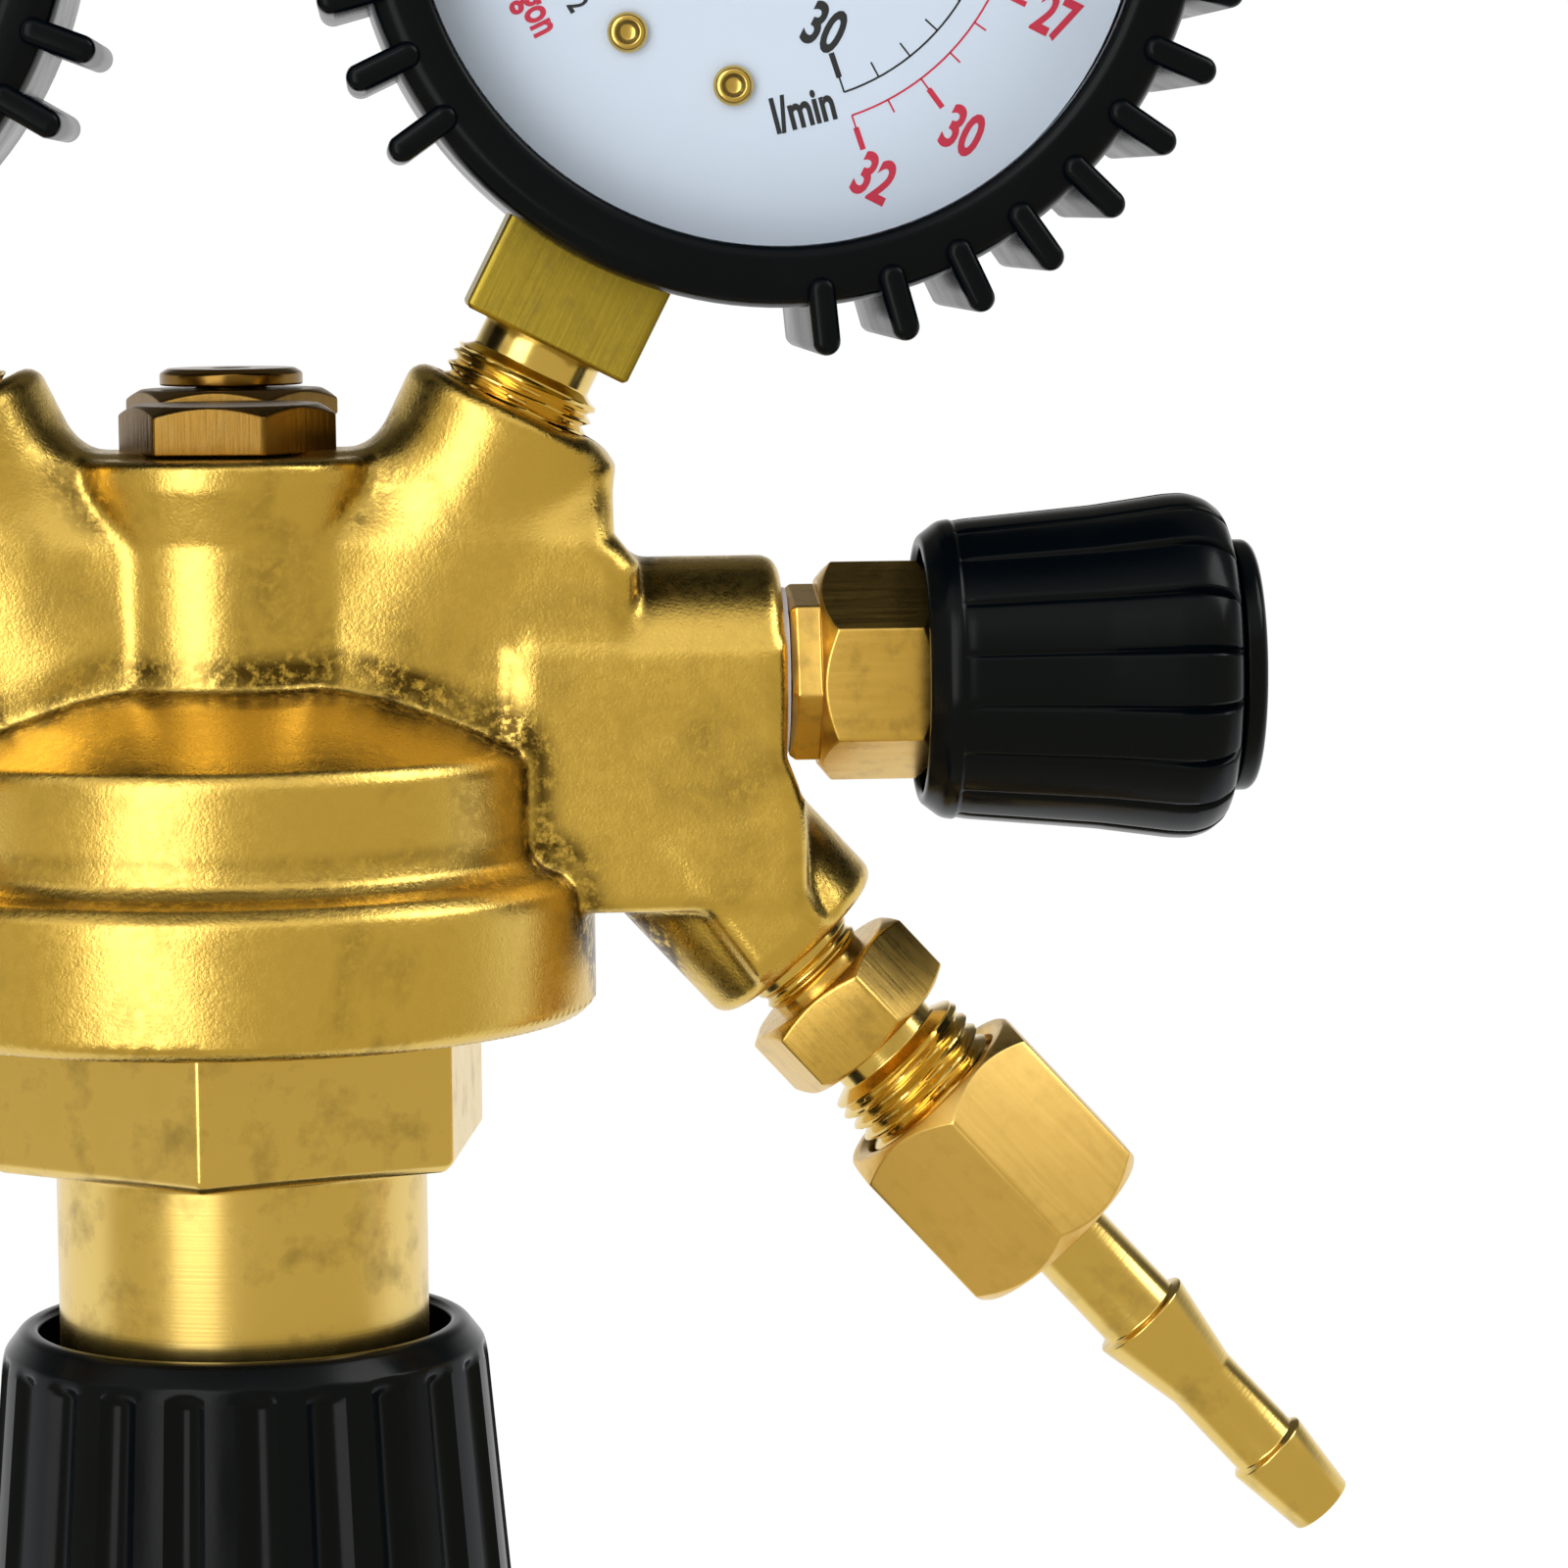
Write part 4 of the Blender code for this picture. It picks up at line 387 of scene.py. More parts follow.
def lathe(p, profile, rounding):
    """Distance to a profile of (r, z) points turned about the upright axis, corners rounded."""
    return outline_field(np.hypot(p[..., 0], p[..., 1]), p[..., 2], profile)-rounding


def surface_net(field, low, high, step):
    """The closed surface where a field is zero, as points and four-sided faces.

    The field is taken at the corners of cubes. Each cube that the surface crosses has one point, at the
    mean of the crossings on its edges, and each edge that the surface crosses has a face that joins the
    points of the four cubes round it. Two Newton steps, p - f grad f / |grad f|^2, then set the points on
    the surface.
    """
    axes = [np.arange(a, b+step, step) for a, b in zip(low, high)]
    values = field(np.stack(np.meshgrid(*axes, indexing="ij"), -1))
    cells = tuple(n-1 for n in values.shape)
    total = np.zeros(cells+(3,))
    count = np.zeros(cells)
    crossings = []
    for axis in range(3):
        others = [other for other in range(3) if other != axis]
        first = np.take(values, range(cells[axis]), axis)
        second = np.take(values, range(1, cells[axis]+1), axis)
        crossed = (first < 0) != (second < 0)
        share = np.where(crossed, first/np.where(crossed, first-second, 1), 0)
        point = np.stack(np.indices(crossed.shape), -1).astype(float)
        point[..., axis] += share
        crossings.append((axis, others, crossed, first < 0))
        for du in (0, 1):
            for dv in (0, 1):
                window = [slice(None)]*3
                window[others[0]] = slice(du, du+cells[others[0]])
                window[others[1]] = slice(dv, dv+cells[others[1]])
                mask = crossed[tuple(window)]
                total += np.where(mask[..., None], point[tuple(window)], 0)
                count += mask
    active = count > 0
    number = np.full(cells, -1)
    number[active] = np.arange(active.sum())
    points = total[active]/count[active][:, None]*step+np.array([axis[0] for axis in axes])
    faces = []
    for axis, others, crossed, inward in crossings:
        window = [slice(None)]*3
        for other in others:
            window[other] = slice(1, cells[other])
        at = np.argwhere(crossed[tuple(window)])
        unit = np.eye(3, dtype=int)
        at[:, others] += 1
        round_edge = [at-unit[others[0]]-unit[others[1]], at-unit[others[1]], at, at-unit[others[0]]]
        quad = np.stack([number[tuple(cell.T)] for cell in round_edge], -1)
        flip = inward[tuple(at.T)] == (axis == 1)
        faces.append(np.where(flip[:, None], quad[:, ::-1], quad))
    for _ in range(2):
        value = field(points)
        nudge = 0.02
        rises = [field(points+offset)-field(points-offset) for offset in np.eye(3)*nudge]
        slope = np.stack(rises, -1)/(2*nudge)
        steepness = np.clip((slope**2).sum(-1), 0.2, None)[:, None]
        points = points-np.clip(value, -step, step)[:, None]*slope/steepness
    return points, np.concatenate(faces)


# Materials. A Mix node of data type RGBA takes its share in input 0 and its colours in inputs 6 and 7, and
# gives its result in output 2. Clouds, marks and grains are sized by their spacing in mm, as 1/spacing.

def put(tree, kind, inputs=None, output=0, **settings):
    """Adds a shader node with its settings and returns one of its outputs.

    An input takes a value, or the output that feeds it.
    """
    made = tree.nodes.new("ShaderNode"+kind)
    for name, value in settings.items():
        setattr(made, name, value)
    for name, value in (inputs or {}).items():
        if isinstance(value, bpy.types.NodeSocket):
            tree.links.new(value, made.inputs[name])
        else:
            made.inputs[name].default_value = value
    return made.outputs[output] if made.outputs else None


def blank(name):
    """A new material and its empty node tree."""
    material = bpy.data.materials.new(name)
    material.use_nodes = True
    tree = material.node_tree
    tree.nodes.clear()
    return material, tree


def place_vector(tree, place):
    """Object coordinates turned into a piece's own frame, in millimetres."""
    home = place.inverted()
    coordinates = put(tree, "TexCoord", output="Object")
    turned = put(tree, "Mapping", {
        "Vector": coordinates, "Rotation": home.to_euler(), "Location": home.translation},
        vector_type="POINT")
    return put(tree, "VectorMath", {0: turned, "Scale": 1/MM}, operation="SCALE")


def shade(colour, change=1.0):
    """A colour, made lighter or darker, with the fourth number that a socket wants."""
    return (*[min(1, part*change) for part in colour], 1)


def forged_brass(colours):
    """Hot-forged brass CW617N, blasted and tumbled: satin, softly mottled, with painted shade in the hollows
    and a tarnish film.
    """
    material, tree = blank("forged_brass_tumbled")
    vector = place_vector(tree, BODY)
    # Clouds of tone 9 mm across, grain of 0.8 mm and pits of 0.25 mm
    clouds = put(tree, "TexNoise", {
        "Vector": vector, "Scale": 1/9, "Detail": 5.0, "Roughness": 0.6, "Distortion": 0.5})
    grain = put(tree, "TexNoise", {"Vector": vector, "Scale": 1/0.8, "Detail": 4.0, "Roughness": 0.65})
    pits = put(tree, "TexNoise", {"Vector": vector, "Scale": 1/0.25, "Detail": 2.0})
    # Painted shade darkens the brass where the hollow attribute is high, broken up by the grain; a thin
    # tarnish film lies on some clouds
    hollow = put(tree, "Attribute", output="Fac", attribute_name="hollow")
    depth = put(tree, "MapRange", {"Value": hollow, "From Min": 0.03, "From Max": 0.36, "To Max": 0.92})
    speckle = put(tree, "MapRange", {"Value": grain, "From Min": 0.34, "From Max": 0.52})
    spread = put(tree, "MapRange", {
        "Value": clouds, "From Min": 0.4, "From Max": 0.56, "To Min": 0.35, "To Max": 1.0})
    # Painted shade: the stain colour is laid on where the skin is enclosed, as if shade fell there
    hollow_shade = put(tree, "Math", {0: depth, 1: speckle}, operation="MULTIPLY")
    hollow_shade = put(tree, "Math", {0: hollow_shade, 1: spread}, operation="MULTIPLY")
    film = put(tree, "MapRange", {"Value": clouds, "From Min": 0.5, "From Max": 0.68, "To Max": 0.36})
    film = put(tree, "Math", {0: film, 1: speckle}, operation="MULTIPLY")
    shade_and_tarnish = put(tree, "Math", {0: hollow_shade, 1: film}, operation="MAXIMUM")
    clean = put(tree, "Mix", {0: clouds, 6: shade(colours.brass, 0.92), 7: shade(colours.brass, 1.06)}, 2,
                data_type="RGBA")
    # The stain colour carries both the painted shade of the hollows and the real tarnish film
    colour = put(tree, "Mix", {0: shade_and_tarnish, 6: clean, 7: shade(colours.stain)}, 2, data_type="RGBA")
    rough = put(tree, "MapRange", {
        "Value": grain, "From Min": 0.3, "From Max": 0.7, "To Min": 0.23, "To Max": 0.33})
    relief = put(tree, "Math", {0: pits, 1: grain}, operation="ADD")
    normal = put(tree, "Bump", {"Height": relief, "Strength": 0.14, "Distance": 0.2*MM})
    metal = put(tree, "BsdfPrincipled", {
        "Base Color": colour, "Metallic": 1.0, "Roughness": rough, "Normal": normal})
    put(tree, "OutputMaterial", {"Surface": metal})
    return material


def turned_brass(name, place, colour, rough=0.18, lines=0.04, stain=(0.2, 0.15, 0.06)):
    """Free-cutting brass bar CW614N, turned: bright, with fine rings round the axis and dull patches."""
    material, tree = blank(name)
    vector = place_vector(tree, place)
    x, y, z = (put(tree, "SeparateXYZ", {0: vector}, axis) for axis in "XYZ")
    flat = put(tree, "CombineXYZ", {0: x, 1: y})
    radius = put(tree, "VectorMath", {0: flat}, "Value", operation="LENGTH")
    ring_vector = put(tree, "CombineXYZ", {0: radius, 1: z})
    # Tool marks 0.25 mm apart, drawn coarser than the real 0.1 mm so that they show; dull patches of 4.5 mm
    rings = put(tree, "TexNoise", {"Vector": ring_vector, "Scale": 1/0.25, "Detail": 2.0})
    patches = put(tree, "TexNoise", {"Vector": vector, "Scale": 1/4.5, "Detail": 5.0, "Roughness": 0.6})
    dull = put(tree, "MapRange", {"Value": patches, "From Min": 0.52, "From Max": 0.75, "To Max": 0.45})
    tone = put(tree, "Mix", {0: dull, 6: shade(colour), 7: shade(stain)}, 2, data_type="RGBA")
    roughness = put(tree, "MapRange", {
        "Value": patches, "From Min": 0.3, "From Max": 0.75, "To Min": rough, "To Max": rough+0.1})
    normal = put(tree, "Bump", {"Height": rings, "Strength": lines, "Distance": 0.15*MM})
    metal = put(tree, "BsdfPrincipled", {
        "Base Color": tone, "Metallic": 1.0, "Roughness": roughness, "Normal": normal})
    put(tree, "OutputMaterial", {"Surface": metal})
    return material


def drawn_brass(name, place, colour, rough=0.24, streaks=0.08, stain=(0.2, 0.14, 0.05)):
    """Drawn hexagon brass bar: satin flats with faint streaks along the bar and small dull specks."""
    material, tree = blank(name)
    vector = place_vector(tree, place)
    stretched = put(tree, "VectorMath", {0: vector, 1: (1.0, 1.0, 0.06)}, operation="MULTIPLY")
    # Draw marks 0.4 mm apart along the bar, specks of 2 mm
    marks = put(tree, "TexNoise", {"Vector": stretched, "Scale": 1/0.4, "Detail": 3.0})
    specks = put(tree, "TexNoise", {"Vector": vector, "Scale": 1/2, "Detail": 6.0, "Roughness": 0.65})
    dull = put(tree, "MapRange", {"Value": specks, "From Min": 0.5, "From Max": 0.78, "To Max": 0.5})
    tone = put(tree, "Mix", {0: dull, 6: shade(colour), 7: shade(stain)}, 2, data_type="RGBA")
    roughness = put(tree, "MapRange", {
        "Value": marks, "From Min": 0.3, "From Max": 0.7, "To Min": rough, "To Max": rough+0.08})
    relief = put(tree, "Math", {0: marks, 1: specks}, operation="ADD")
    normal = put(tree, "Bump", {"Height": relief, "Strength": streaks, "Distance": 0.2*MM})
    metal = put(tree, "BsdfPrincipled", {
        "Base Color": tone, "Metallic": 1.0, "Roughness": roughness, "Normal": normal})
    put(tree, "OutputMaterial", {"Surface": metal})
    return material


def moulded(name, colour, rough, grit, depth, level=0.5):
    """Moulded plastic or rubber: one colour, faint cloudiness in the gloss and a fine moulded skin."""
    material, tree = blank(name)
    vector = place_vector(tree, BODY)
    cloud = put(tree, "TexNoise", {"Vector": vector, "Scale": 1/8, "Detail": 3.0})
    skin = put(tree, "TexNoise", {"Vector": vector, "Scale": 1/grit, "Detail": 2.0})
    tone = put(tree, "Mix", {0: cloud, 6: shade(colour), 7: shade(colour, 1.4)}, 2, data_type="RGBA")
    roughness = put(tree, "MapRange", {
        "Value": cloud, "From Min": 0.3, "From Max": 0.7, "To Min": rough-0.04, "To Max": rough+0.06})
    normal = put(tree, "Bump", {"Height": skin, "Strength": 0.2, "Distance": depth*MM})
    plastic = put(tree, "BsdfPrincipled", {
        "Base Color": tone, "Roughness": roughness, "Normal": normal, "IOR": 1.5,
        "Specular IOR Level": level})
    put(tree, "OutputMaterial", {"Surface": plastic})
    return material


def matt(name, colour, size, change, rough, index=1.5):
    """A matt surface whose colour wanders between itself and its change, in clouds of a size in mm."""
    material, tree = blank(name)
    cloud = put(tree, "TexNoise", {"Vector": place_vector(tree, BODY), "Scale": 1/size})
    tone = put(tree, "Mix", {0: cloud, 6: shade(colour), 7: shade(colour, change)}, 2, data_type="RGBA")
    paint = put(tree, "BsdfPrincipled", {"Base Color": tone, "Roughness": rough, "IOR": index})
    put(tree, "OutputMaterial", {"Surface": paint})
    return material


def enamel(colours):
    """Stove enamel on the dial plates: pale cool white, faintly uneven, with a soft sheen."""
    return matt("dial_stove_enamel", colours.dial, size=20.0, change=0.94, rough=0.45)


def ink(name, colour):
    """Screen-printed ink: flat, matt, a little uneven in tone."""
    return matt(name, colour, size=0.35, change=1.3, rough=0.55)


def soft_white(name, colour):
    """Natural nylon: off-white, softly uneven."""
    return matt(name, colour, size=1.6, change=0.9, rough=0.45, index=1.53)


def clear_window(name):
    """Clear acrylic sheet: see-through, with a surface gloss that grows towards the edge of the view."""
    material, tree = blank(name)
    through = put(tree, "BsdfTransparent", {"Color": (0.97, 0.985, 1.0, 1)})
    gloss = put(tree, "BsdfGlossy", {"Roughness": 0.03})
    fresnel = put(tree, "Fresnel", {"IOR": 1.2})
    sheet = put(tree, "MixShader", {0: fresnel, 1: through, 2: gloss})
    put(tree, "OutputMaterial", {"Surface": sheet})
    return material


def plated_steel(name, colour, rough=0.3):
    """Zinc-plated steel: grey metal with a faint crystal mottle of 0.8 mm."""
    material, tree = blank(name)
    mottle = put(tree, "TexVoronoi", {"Vector": place_vector(tree, BODY), "Scale": 1/0.8}, "Distance")
    tone = put(tree, "Mix", {0: mottle, 6: shade(colour), 7: shade(colour, 0.85)}, 2, data_type="RGBA")
    roughness = put(tree, "MapRange", {"Value": mottle, "To Min": rough-0.06, "To Max": rough+0.1})
    metal = put(tree, "BsdfPrincipled", {"Base Color": tone, "Metallic": 1.0, "Roughness": roughness})
    put(tree, "OutputMaterial", {"Surface": metal})
    return material


def shared(name, make, *values):
    """A material that several pieces share, made the first time that it is asked for."""
    return bpy.data.materials.get(name) or make(*values)


def note_hollows(data, field, place, reach=5.0):
    """Stores how enclosed each point is, 1 - field(point + reach normal)/reach, which places the forging's
    painted shade.
    """
    count = len(data.vertices)
    points = np.empty(count*3)
    normals = np.empty(count*3)
    data.vertices.foreach_get("co", points)
    data.vertices.foreach_get("normal", normals)
    turn = np.array(place.to_3x3())
    home = (points.reshape(-1, 3)-np.array(place.translation))/MM @ turn
    outward = normals.reshape(-1, 3) @ turn
    hollow = np.clip(1-field(home+outward*reach)/reach, 0, 1)
    data.attributes.new("hollow", "FLOAT", "POINT").data.foreach_set("value", hollow.astype(np.float32))


# Operators

class REGULATOR_OT_body(Operator):
    """Forged body: column, arms, bosses, web, crowned chamber, pad and outlet boss in one blended skin"""
    bl_idname = "regulator.body"
    bl_label = "Forged body"

    def execute(self, context):
        """Works out the skin from distance fields and dresses it in forged brass."""
        sizes = context.scene.regulator_sizes
        soft = sizes.blend/MM
        tight = sizes.crease/MM
        web_half = sizes.web/MM/2
        tilt = math.radians(GAUGE_TILT)
        gauge_axis = np.array([math.sin(tilt), 0, math.cos(tilt)])
        crossing = np.array([0, 0, GAUGE_CROSSING])
        angle = math.radians(OUTLET_ANGLE)
        outlet_axis = np.array([math.cos(angle), 0, -math.sin(angle)])
        outlet_face = np.array(OUTLET_FOOT)
        # Crown, ring, cove and disc of the diaphragm chamber, as radius and height
        chamber = [(0, 0.8), (7.6, 0.3), (11.5, -0.4), (15.0, -1.4), (18.9, -3.0), (22.6, -4.7), (24.2, -5.5),
                   (24.6, -6.3), (24.6, -12.3), (25.0, -13.8), (26.0, -14.8), (27.3, -15.4), (28.0, -16.2),
                   (28.2, -17.2), (28.2, -25.4), (27.5, -26.1), (0, -26.2)]
        column = [(0, 17.5), (11.9, 17.5), (12.2, 17.2), (12.2, 15.8), (11.0, 11.4), (11.0, -4.0), (0, -4.0)]
        # Outlines in X and Z of the web's right half, the pad under the right arm and the outlet boss's root
        half_web = [(9.0, 18.3), (15.0, 18.3), (28.0, 18.2), (30.3, 16.6), (30.3, 11.6), (32.2, 9.2),
                    (32.6, -8.0)]
        web = half_web+[(-x, z) for x, z in reversed(half_web)]
        pad = [(21.5, 3.0), (43.5, 3.0), (43.6, -6.0), (44.6, -8.6), (45.0, -12.5), (45.0, -18.2),
               (21.5, -18.2)]
        nose = [(33.0, -12.0), (44.9, -9.5), (45.0, -16.3), (46.6, -19.2), (41.2, -24.0), (37.0, -18.2)]
        # The outlet boss stands 0.5 mm to the upper side of the outlet's axis
        across = np.array([-outlet_axis[2], 0, outlet_axis[0]])*0.5

        def forging(p):
            """The outside of the forging, which is mirrored but for the pad and the outlet boss."""
            mirrored = np.stack([np.abs(p[..., 0]), p[..., 1], p[..., 2]], -1)
            arms = bar(mirrored, (22.5, 0, 0), (43.6, 0, 0), 9.4, 1.6)
            boss = bar(mirrored, crossing+gauge_axis*27.0, crossing+gauge_axis*49.8, 8.2, 1.5, 8.6)
            # The web thins smoothly towards its top, between 10 and 17 mm up
            rise = np.clip((p[..., 2]-10.0)/7.0, 0, 1)
            wall = plate(p, web, web_half-2.8*rise**2*(3-2*rise), 2.6)
            shape = join(wall, boss, soft)
            shape = join(shape, arms, tight)
            shape = join(shape, lathe(p, column, 0.4), tight)
            block = join(plate(p, pad, 9.2, 1.3), plate(p, nose, 9.0, 1.3), tight)
            outlet = bar(p, outlet_face-outlet_axis*26+across, outlet_face+across, 8.4, 1.3)
            block = join(block, outlet, tight)
            shape = join(shape, block, tight)
            shape = join(shape, bar(p, (0, RELIEF_Y, -9.0), (0, RELIEF_Y, 19.5), 6.8, 0.9), 2.0)
            return join(shape, lathe(p, chamber, 0.4), tight)

        # Start, end and radius of each socket: plug, inlet, valve, relief valve, bonnet, diaphragm and outlet
        drills = [((0, 0, 1.9), (0, 0, 30), 5.0), ((-60, 0, 0), (-33.6, 0, 0), 6.5),
                  ((34.3, 0, 0), (60, 0, 0), 5.7), ((0, RELIEF_Y, 11.2), (0, RELIEF_Y, 30), 4.9),
                  ((0, 0, -60), (0, 0, -17.5), 25.0),
                  ((0, 0, -18.0), (0, 0, -12.0), 20.5),
                  (outlet_face-outlet_axis*7.3, outlet_face+outlet_axis*9, 5.0)]

        def field(p):
            """The forging less its screwed sockets and the bonnet's hollow."""
            shape = forging(p)
            for start, end, radius in drills:
                shape = np.maximum(shape, -bar(p, start, end, radius))
            mirrored = np.stack([np.abs(p[..., 0]), p[..., 1], p[..., 2]], -1)
            socket = bar(mirrored, crossing+gauge_axis*41.8, crossing+gauge_axis*60, 6.7)
            return np.maximum(shape, -socket)

        points, faces = surface_net(field, (-46, -30.5, -29), (53, 30.5, 27), sizes.net_step/MM)
        material = forged_brass(context.scene.regulator_colours)
        skin = fit("forged_body", points, faces, material, "regulator", ["body"], BODY,
                   sharp=50.0)
        # The hollow attribute says where the forged brass lays its painted shade
        note_hollows(skin.data, forging, BODY)
        return {"FINISHED"}


class REGULATOR_OT_bonnet(Operator):
    """Spring bonnet: hexagon under the chamber and the turned barrel below it"""
    bl_idname = "regulator.bonnet"
    bl_label = "Spring bonnet"

    def execute(self, context):
        """Spins the hexagon and barrel, outside and inside."""
        angles = corner_angles(6, 28)
        side = polygon_radius(6, 36.6, angles, 0.6)
        low, high = -37.9, -26.95
        controls = [(19.9, -20.4), (24.7, -20.4), (24.7, -26.3), (18.0, -26.3), (18.0, high),
                    (side-0.3, high), (side, high-0.3), (side, low+0.8), (side-0.9, low), (15.4, low),
                    (14.8, low-0.6), (14.8, -65.3), (14.2, -65.9), (5.3, -65.9), (5.3, -59.9), (11.5, -59.9),
                    (11.5, -25.0), (19.4, -20.4), (19.9, -20.4)]
        colours = context.scene.regulator_colours
        material = turned_brass("bonnet_brass", BODY, colours.turned, rough=0.22, lines=0.03,
                                stain=colours.stain)
        revolve("spring_bonnet", controls, angles, 0.35, material, ["bonnet"],
                BODY @ turn_about("Z", BONNET_TURN))
        return {"FINISHED"}


class REGULATOR_OT_plugs(Operator):
    """Top plug, and the relief valve's hexagon and dished cap behind it"""
    bl_idname = "regulator.plugs"
    bl_label = "Top plug and relief valve"

    def execute(self, context):
        """Spins the plug, the relief valve's body and its cap."""
        colours = context.scene.regulator_colours
        angles = corner_angles(6, 20)
        place = BODY @ turn_about("Z", PLUG_TURN)
        plug = [(0.0, 16.4), (3.4, 16.4), (3.4, 10.9), (4.7, 10.9), (4.7, 18.2)]
        plug += hexagon(15.2, 18.2, 22.0, angles, low_cut=False)+[(0.0, 22.0)]
        revolve("plug", plug, angles, 0.18,
                drawn_brass("plug_bronze", place, colours.plug, rough=0.3, streaks=0.2), ["top_plug"], place)
        place = RELIEF @ turn_about("Z", PLUG_TURN)
        body = [(1.3, 11.5), (4.6, 11.5), (4.6, 19.8)]+hexagon(15.3, 19.8, 22.7, angles)
        body += [(3.2, 22.7), (3.2, 13.5), (1.3, 13.5), (1.3, 11.5)]
        revolve("relief_hexagon", body, angles, 0.2,
                drawn_brass("relief_bronze", place, colours.plug, rough=0.3), ["relief_valve_body"], place)
        cap = [(0.8, 21.1), (2.9, 21.1), (2.9, 23.0), (5.85, 23.0), (5.85, 24.0), (5.2, 24.4), (1.6, 24.4),
               (1.4, 23.9), (0.8, 23.9), (0.8, 21.1)]
        revolve("relief_top", cap, even_angles(64), 0.2, turned_brass("cap_bronze", RELIEF, colours.plug),
                ["relief_cap"], RELIEF)
        return {"FINISHED"}


def knob_rows(controls, shape):
    """Controls of a knob: each radius is lessened by its share of the flutes' shape round the knob, in mm."""
    return [(radius-share*shape, z) for radius, z, share in controls]


def flute_angles(count, stations):
    """Angles round a fluted knob, with the same stations from 0 to 1 across every flute."""
    return ((np.arange(count)[:, None]+np.asarray(stations)[None, :])/count*TURN).ravel()


def scoops(count, angles, land, depth):
    """Hollow flutes between flat lands: depth (1 - (2 u/w - 1)^2) across the width w, and 0 on the land."""
    u = (angles*count/TURN+1e-6) % 1
    width = 1-land
    return np.where(u < width, depth*(1-(2*u/width-1)**2), 0)


def grooves(count, angles, width, depth):
    """Fine grooves between broad faces: depth exp(-(d/width)^2), with d from the groove over the pitch."""
    u = (angles*count/TURN) % 1
    return depth*np.exp(-(np.minimum(u, 1-u)/width)**2)


class REGULATOR_OT_knobs(Operator):
    """Adjusting knob under the bonnet and flow knob on the right arm, each with its cap disc"""
    bl_idname = "regulator.knobs"
    bl_label = "Knobs"

    def execute(self, context):
        """Spins the two fluted knobs and their caps."""
        colours = context.scene.regulator_colours
        plastic = moulded("knob_abs", colours.plastic, rough=0.2, grit=0.4, depth=0.02, level=0.11)
        count, land = 22, 0.42
        stations = np.concatenate([np.linspace(0, 1-land, 9), np.linspace(1-land, 1, 5)[1:-1]])
        angles = flute_angles(count, stations)
        # Radius, height and the share of the flutes' depth that is taken off there
        controls = [(5.3, 32.3, 0), (5.3, 21.3, 0), (16.4, 21.3, 0), (16.4, 0.4, 0), (16.7, 0, 0),
                    (17.5, 0, 0), (18.0, 0.25, 0), (19.2, 1.8, 0), (19.35, 2.3, 0.2), (19.5, 3.2, 1),
                    (22.4, 35.8, 1.0),
                    (22.4, 37.4, 1.0), (21.6, 39.4, 0.8), (19.8, 40.6, 0.3), (18.2, 41.0, 0), (13.0, 41.0, 0),
                    (13.0, 36.4, 0), (0.0, 36.4, 0)]
        rows = section(knob_rows(controls, scoops(count, angles, land, 0.9)), angles, 0.3)
        closing = section([(0.0, 32.3), (2.0, 32.3), (5.3, 32.3)], angles, 0.0)
        piece("pressure_knob", [spin(np.concatenate([closing, rows]), angles)], plastic, "adjuster",
              ["adjusting_knob"], KNOB, sharp=28.0)
        disc_angles = even_angles(96)
        disc = [(0.0, 38.5), (12.4, 38.5), (12.4, 41.3), (16.3, 41.3), (16.3, 42.3), (15.6, 43.1),
                (0.0, 43.1)]
        revolve("pressure_knob_disc", disc, disc_angles, 0.5, plastic, ["adjusting_knob_cap"], KNOB,
                "adjuster")
        count = 18
        near = np.array([0, 0.015, 0.03, 0.05, 0.075, 0.11, 0.17, 0.27, 0.38])
        angles = flute_angles(count, np.concatenate([near, [0.5], 1-near[:0:-1]]))
        place = VALVE @ shift(0, 0, FLOW_KNOB_FOOT) @ turn_about("Z", FLOW_KNOB_TURN)
        controls = [(0.0, 14.2, 0), (2.3, 14.2, 0), (2.3, 2.2, 0), (9.8, 2.2, 0), (9.8, 0.3, 0), (10.1, 0, 0),
                    (10.7, 0.05, 0), (11.9, 1.6, 0), (12.05, 2.5, 0), (11.9, 2.8, 0.1), (12.05, 3.6, 0.25),
                    (13.0, 14.0, 0.4), (13.85, 20.0, 0.7), (13.9, 21.6, 1.0), (13.5, 23.0, 1.2),
                    (12.5, 24.3, 1.2), (11.2, 24.8, 0.3), (8.0, 24.8, 0), (8.0, 20.2, 0), (0.0, 20.2, 0)]
        rows = section(knob_rows(controls, grooves(count, angles, 0.055, 0.75)), angles, 0.6, steps=4)
        piece("flow_control_knob", [spin(rows, angles)], plastic, "flow_control", ["flow_knob"], place,
              sharp=28.0)
        disc = [(0.0, 22.8), (7.4, 22.8), (7.4, 25.1), (10.1, 25.1), (10.1, 26.4), (9.6, 26.9), (0.0, 26.9)]
        revolve("flow_control_disc", disc, disc_angles, 0.35, plastic, ["flow_knob_cap"], place,
                "flow_control")
        return {"FINISHED"}


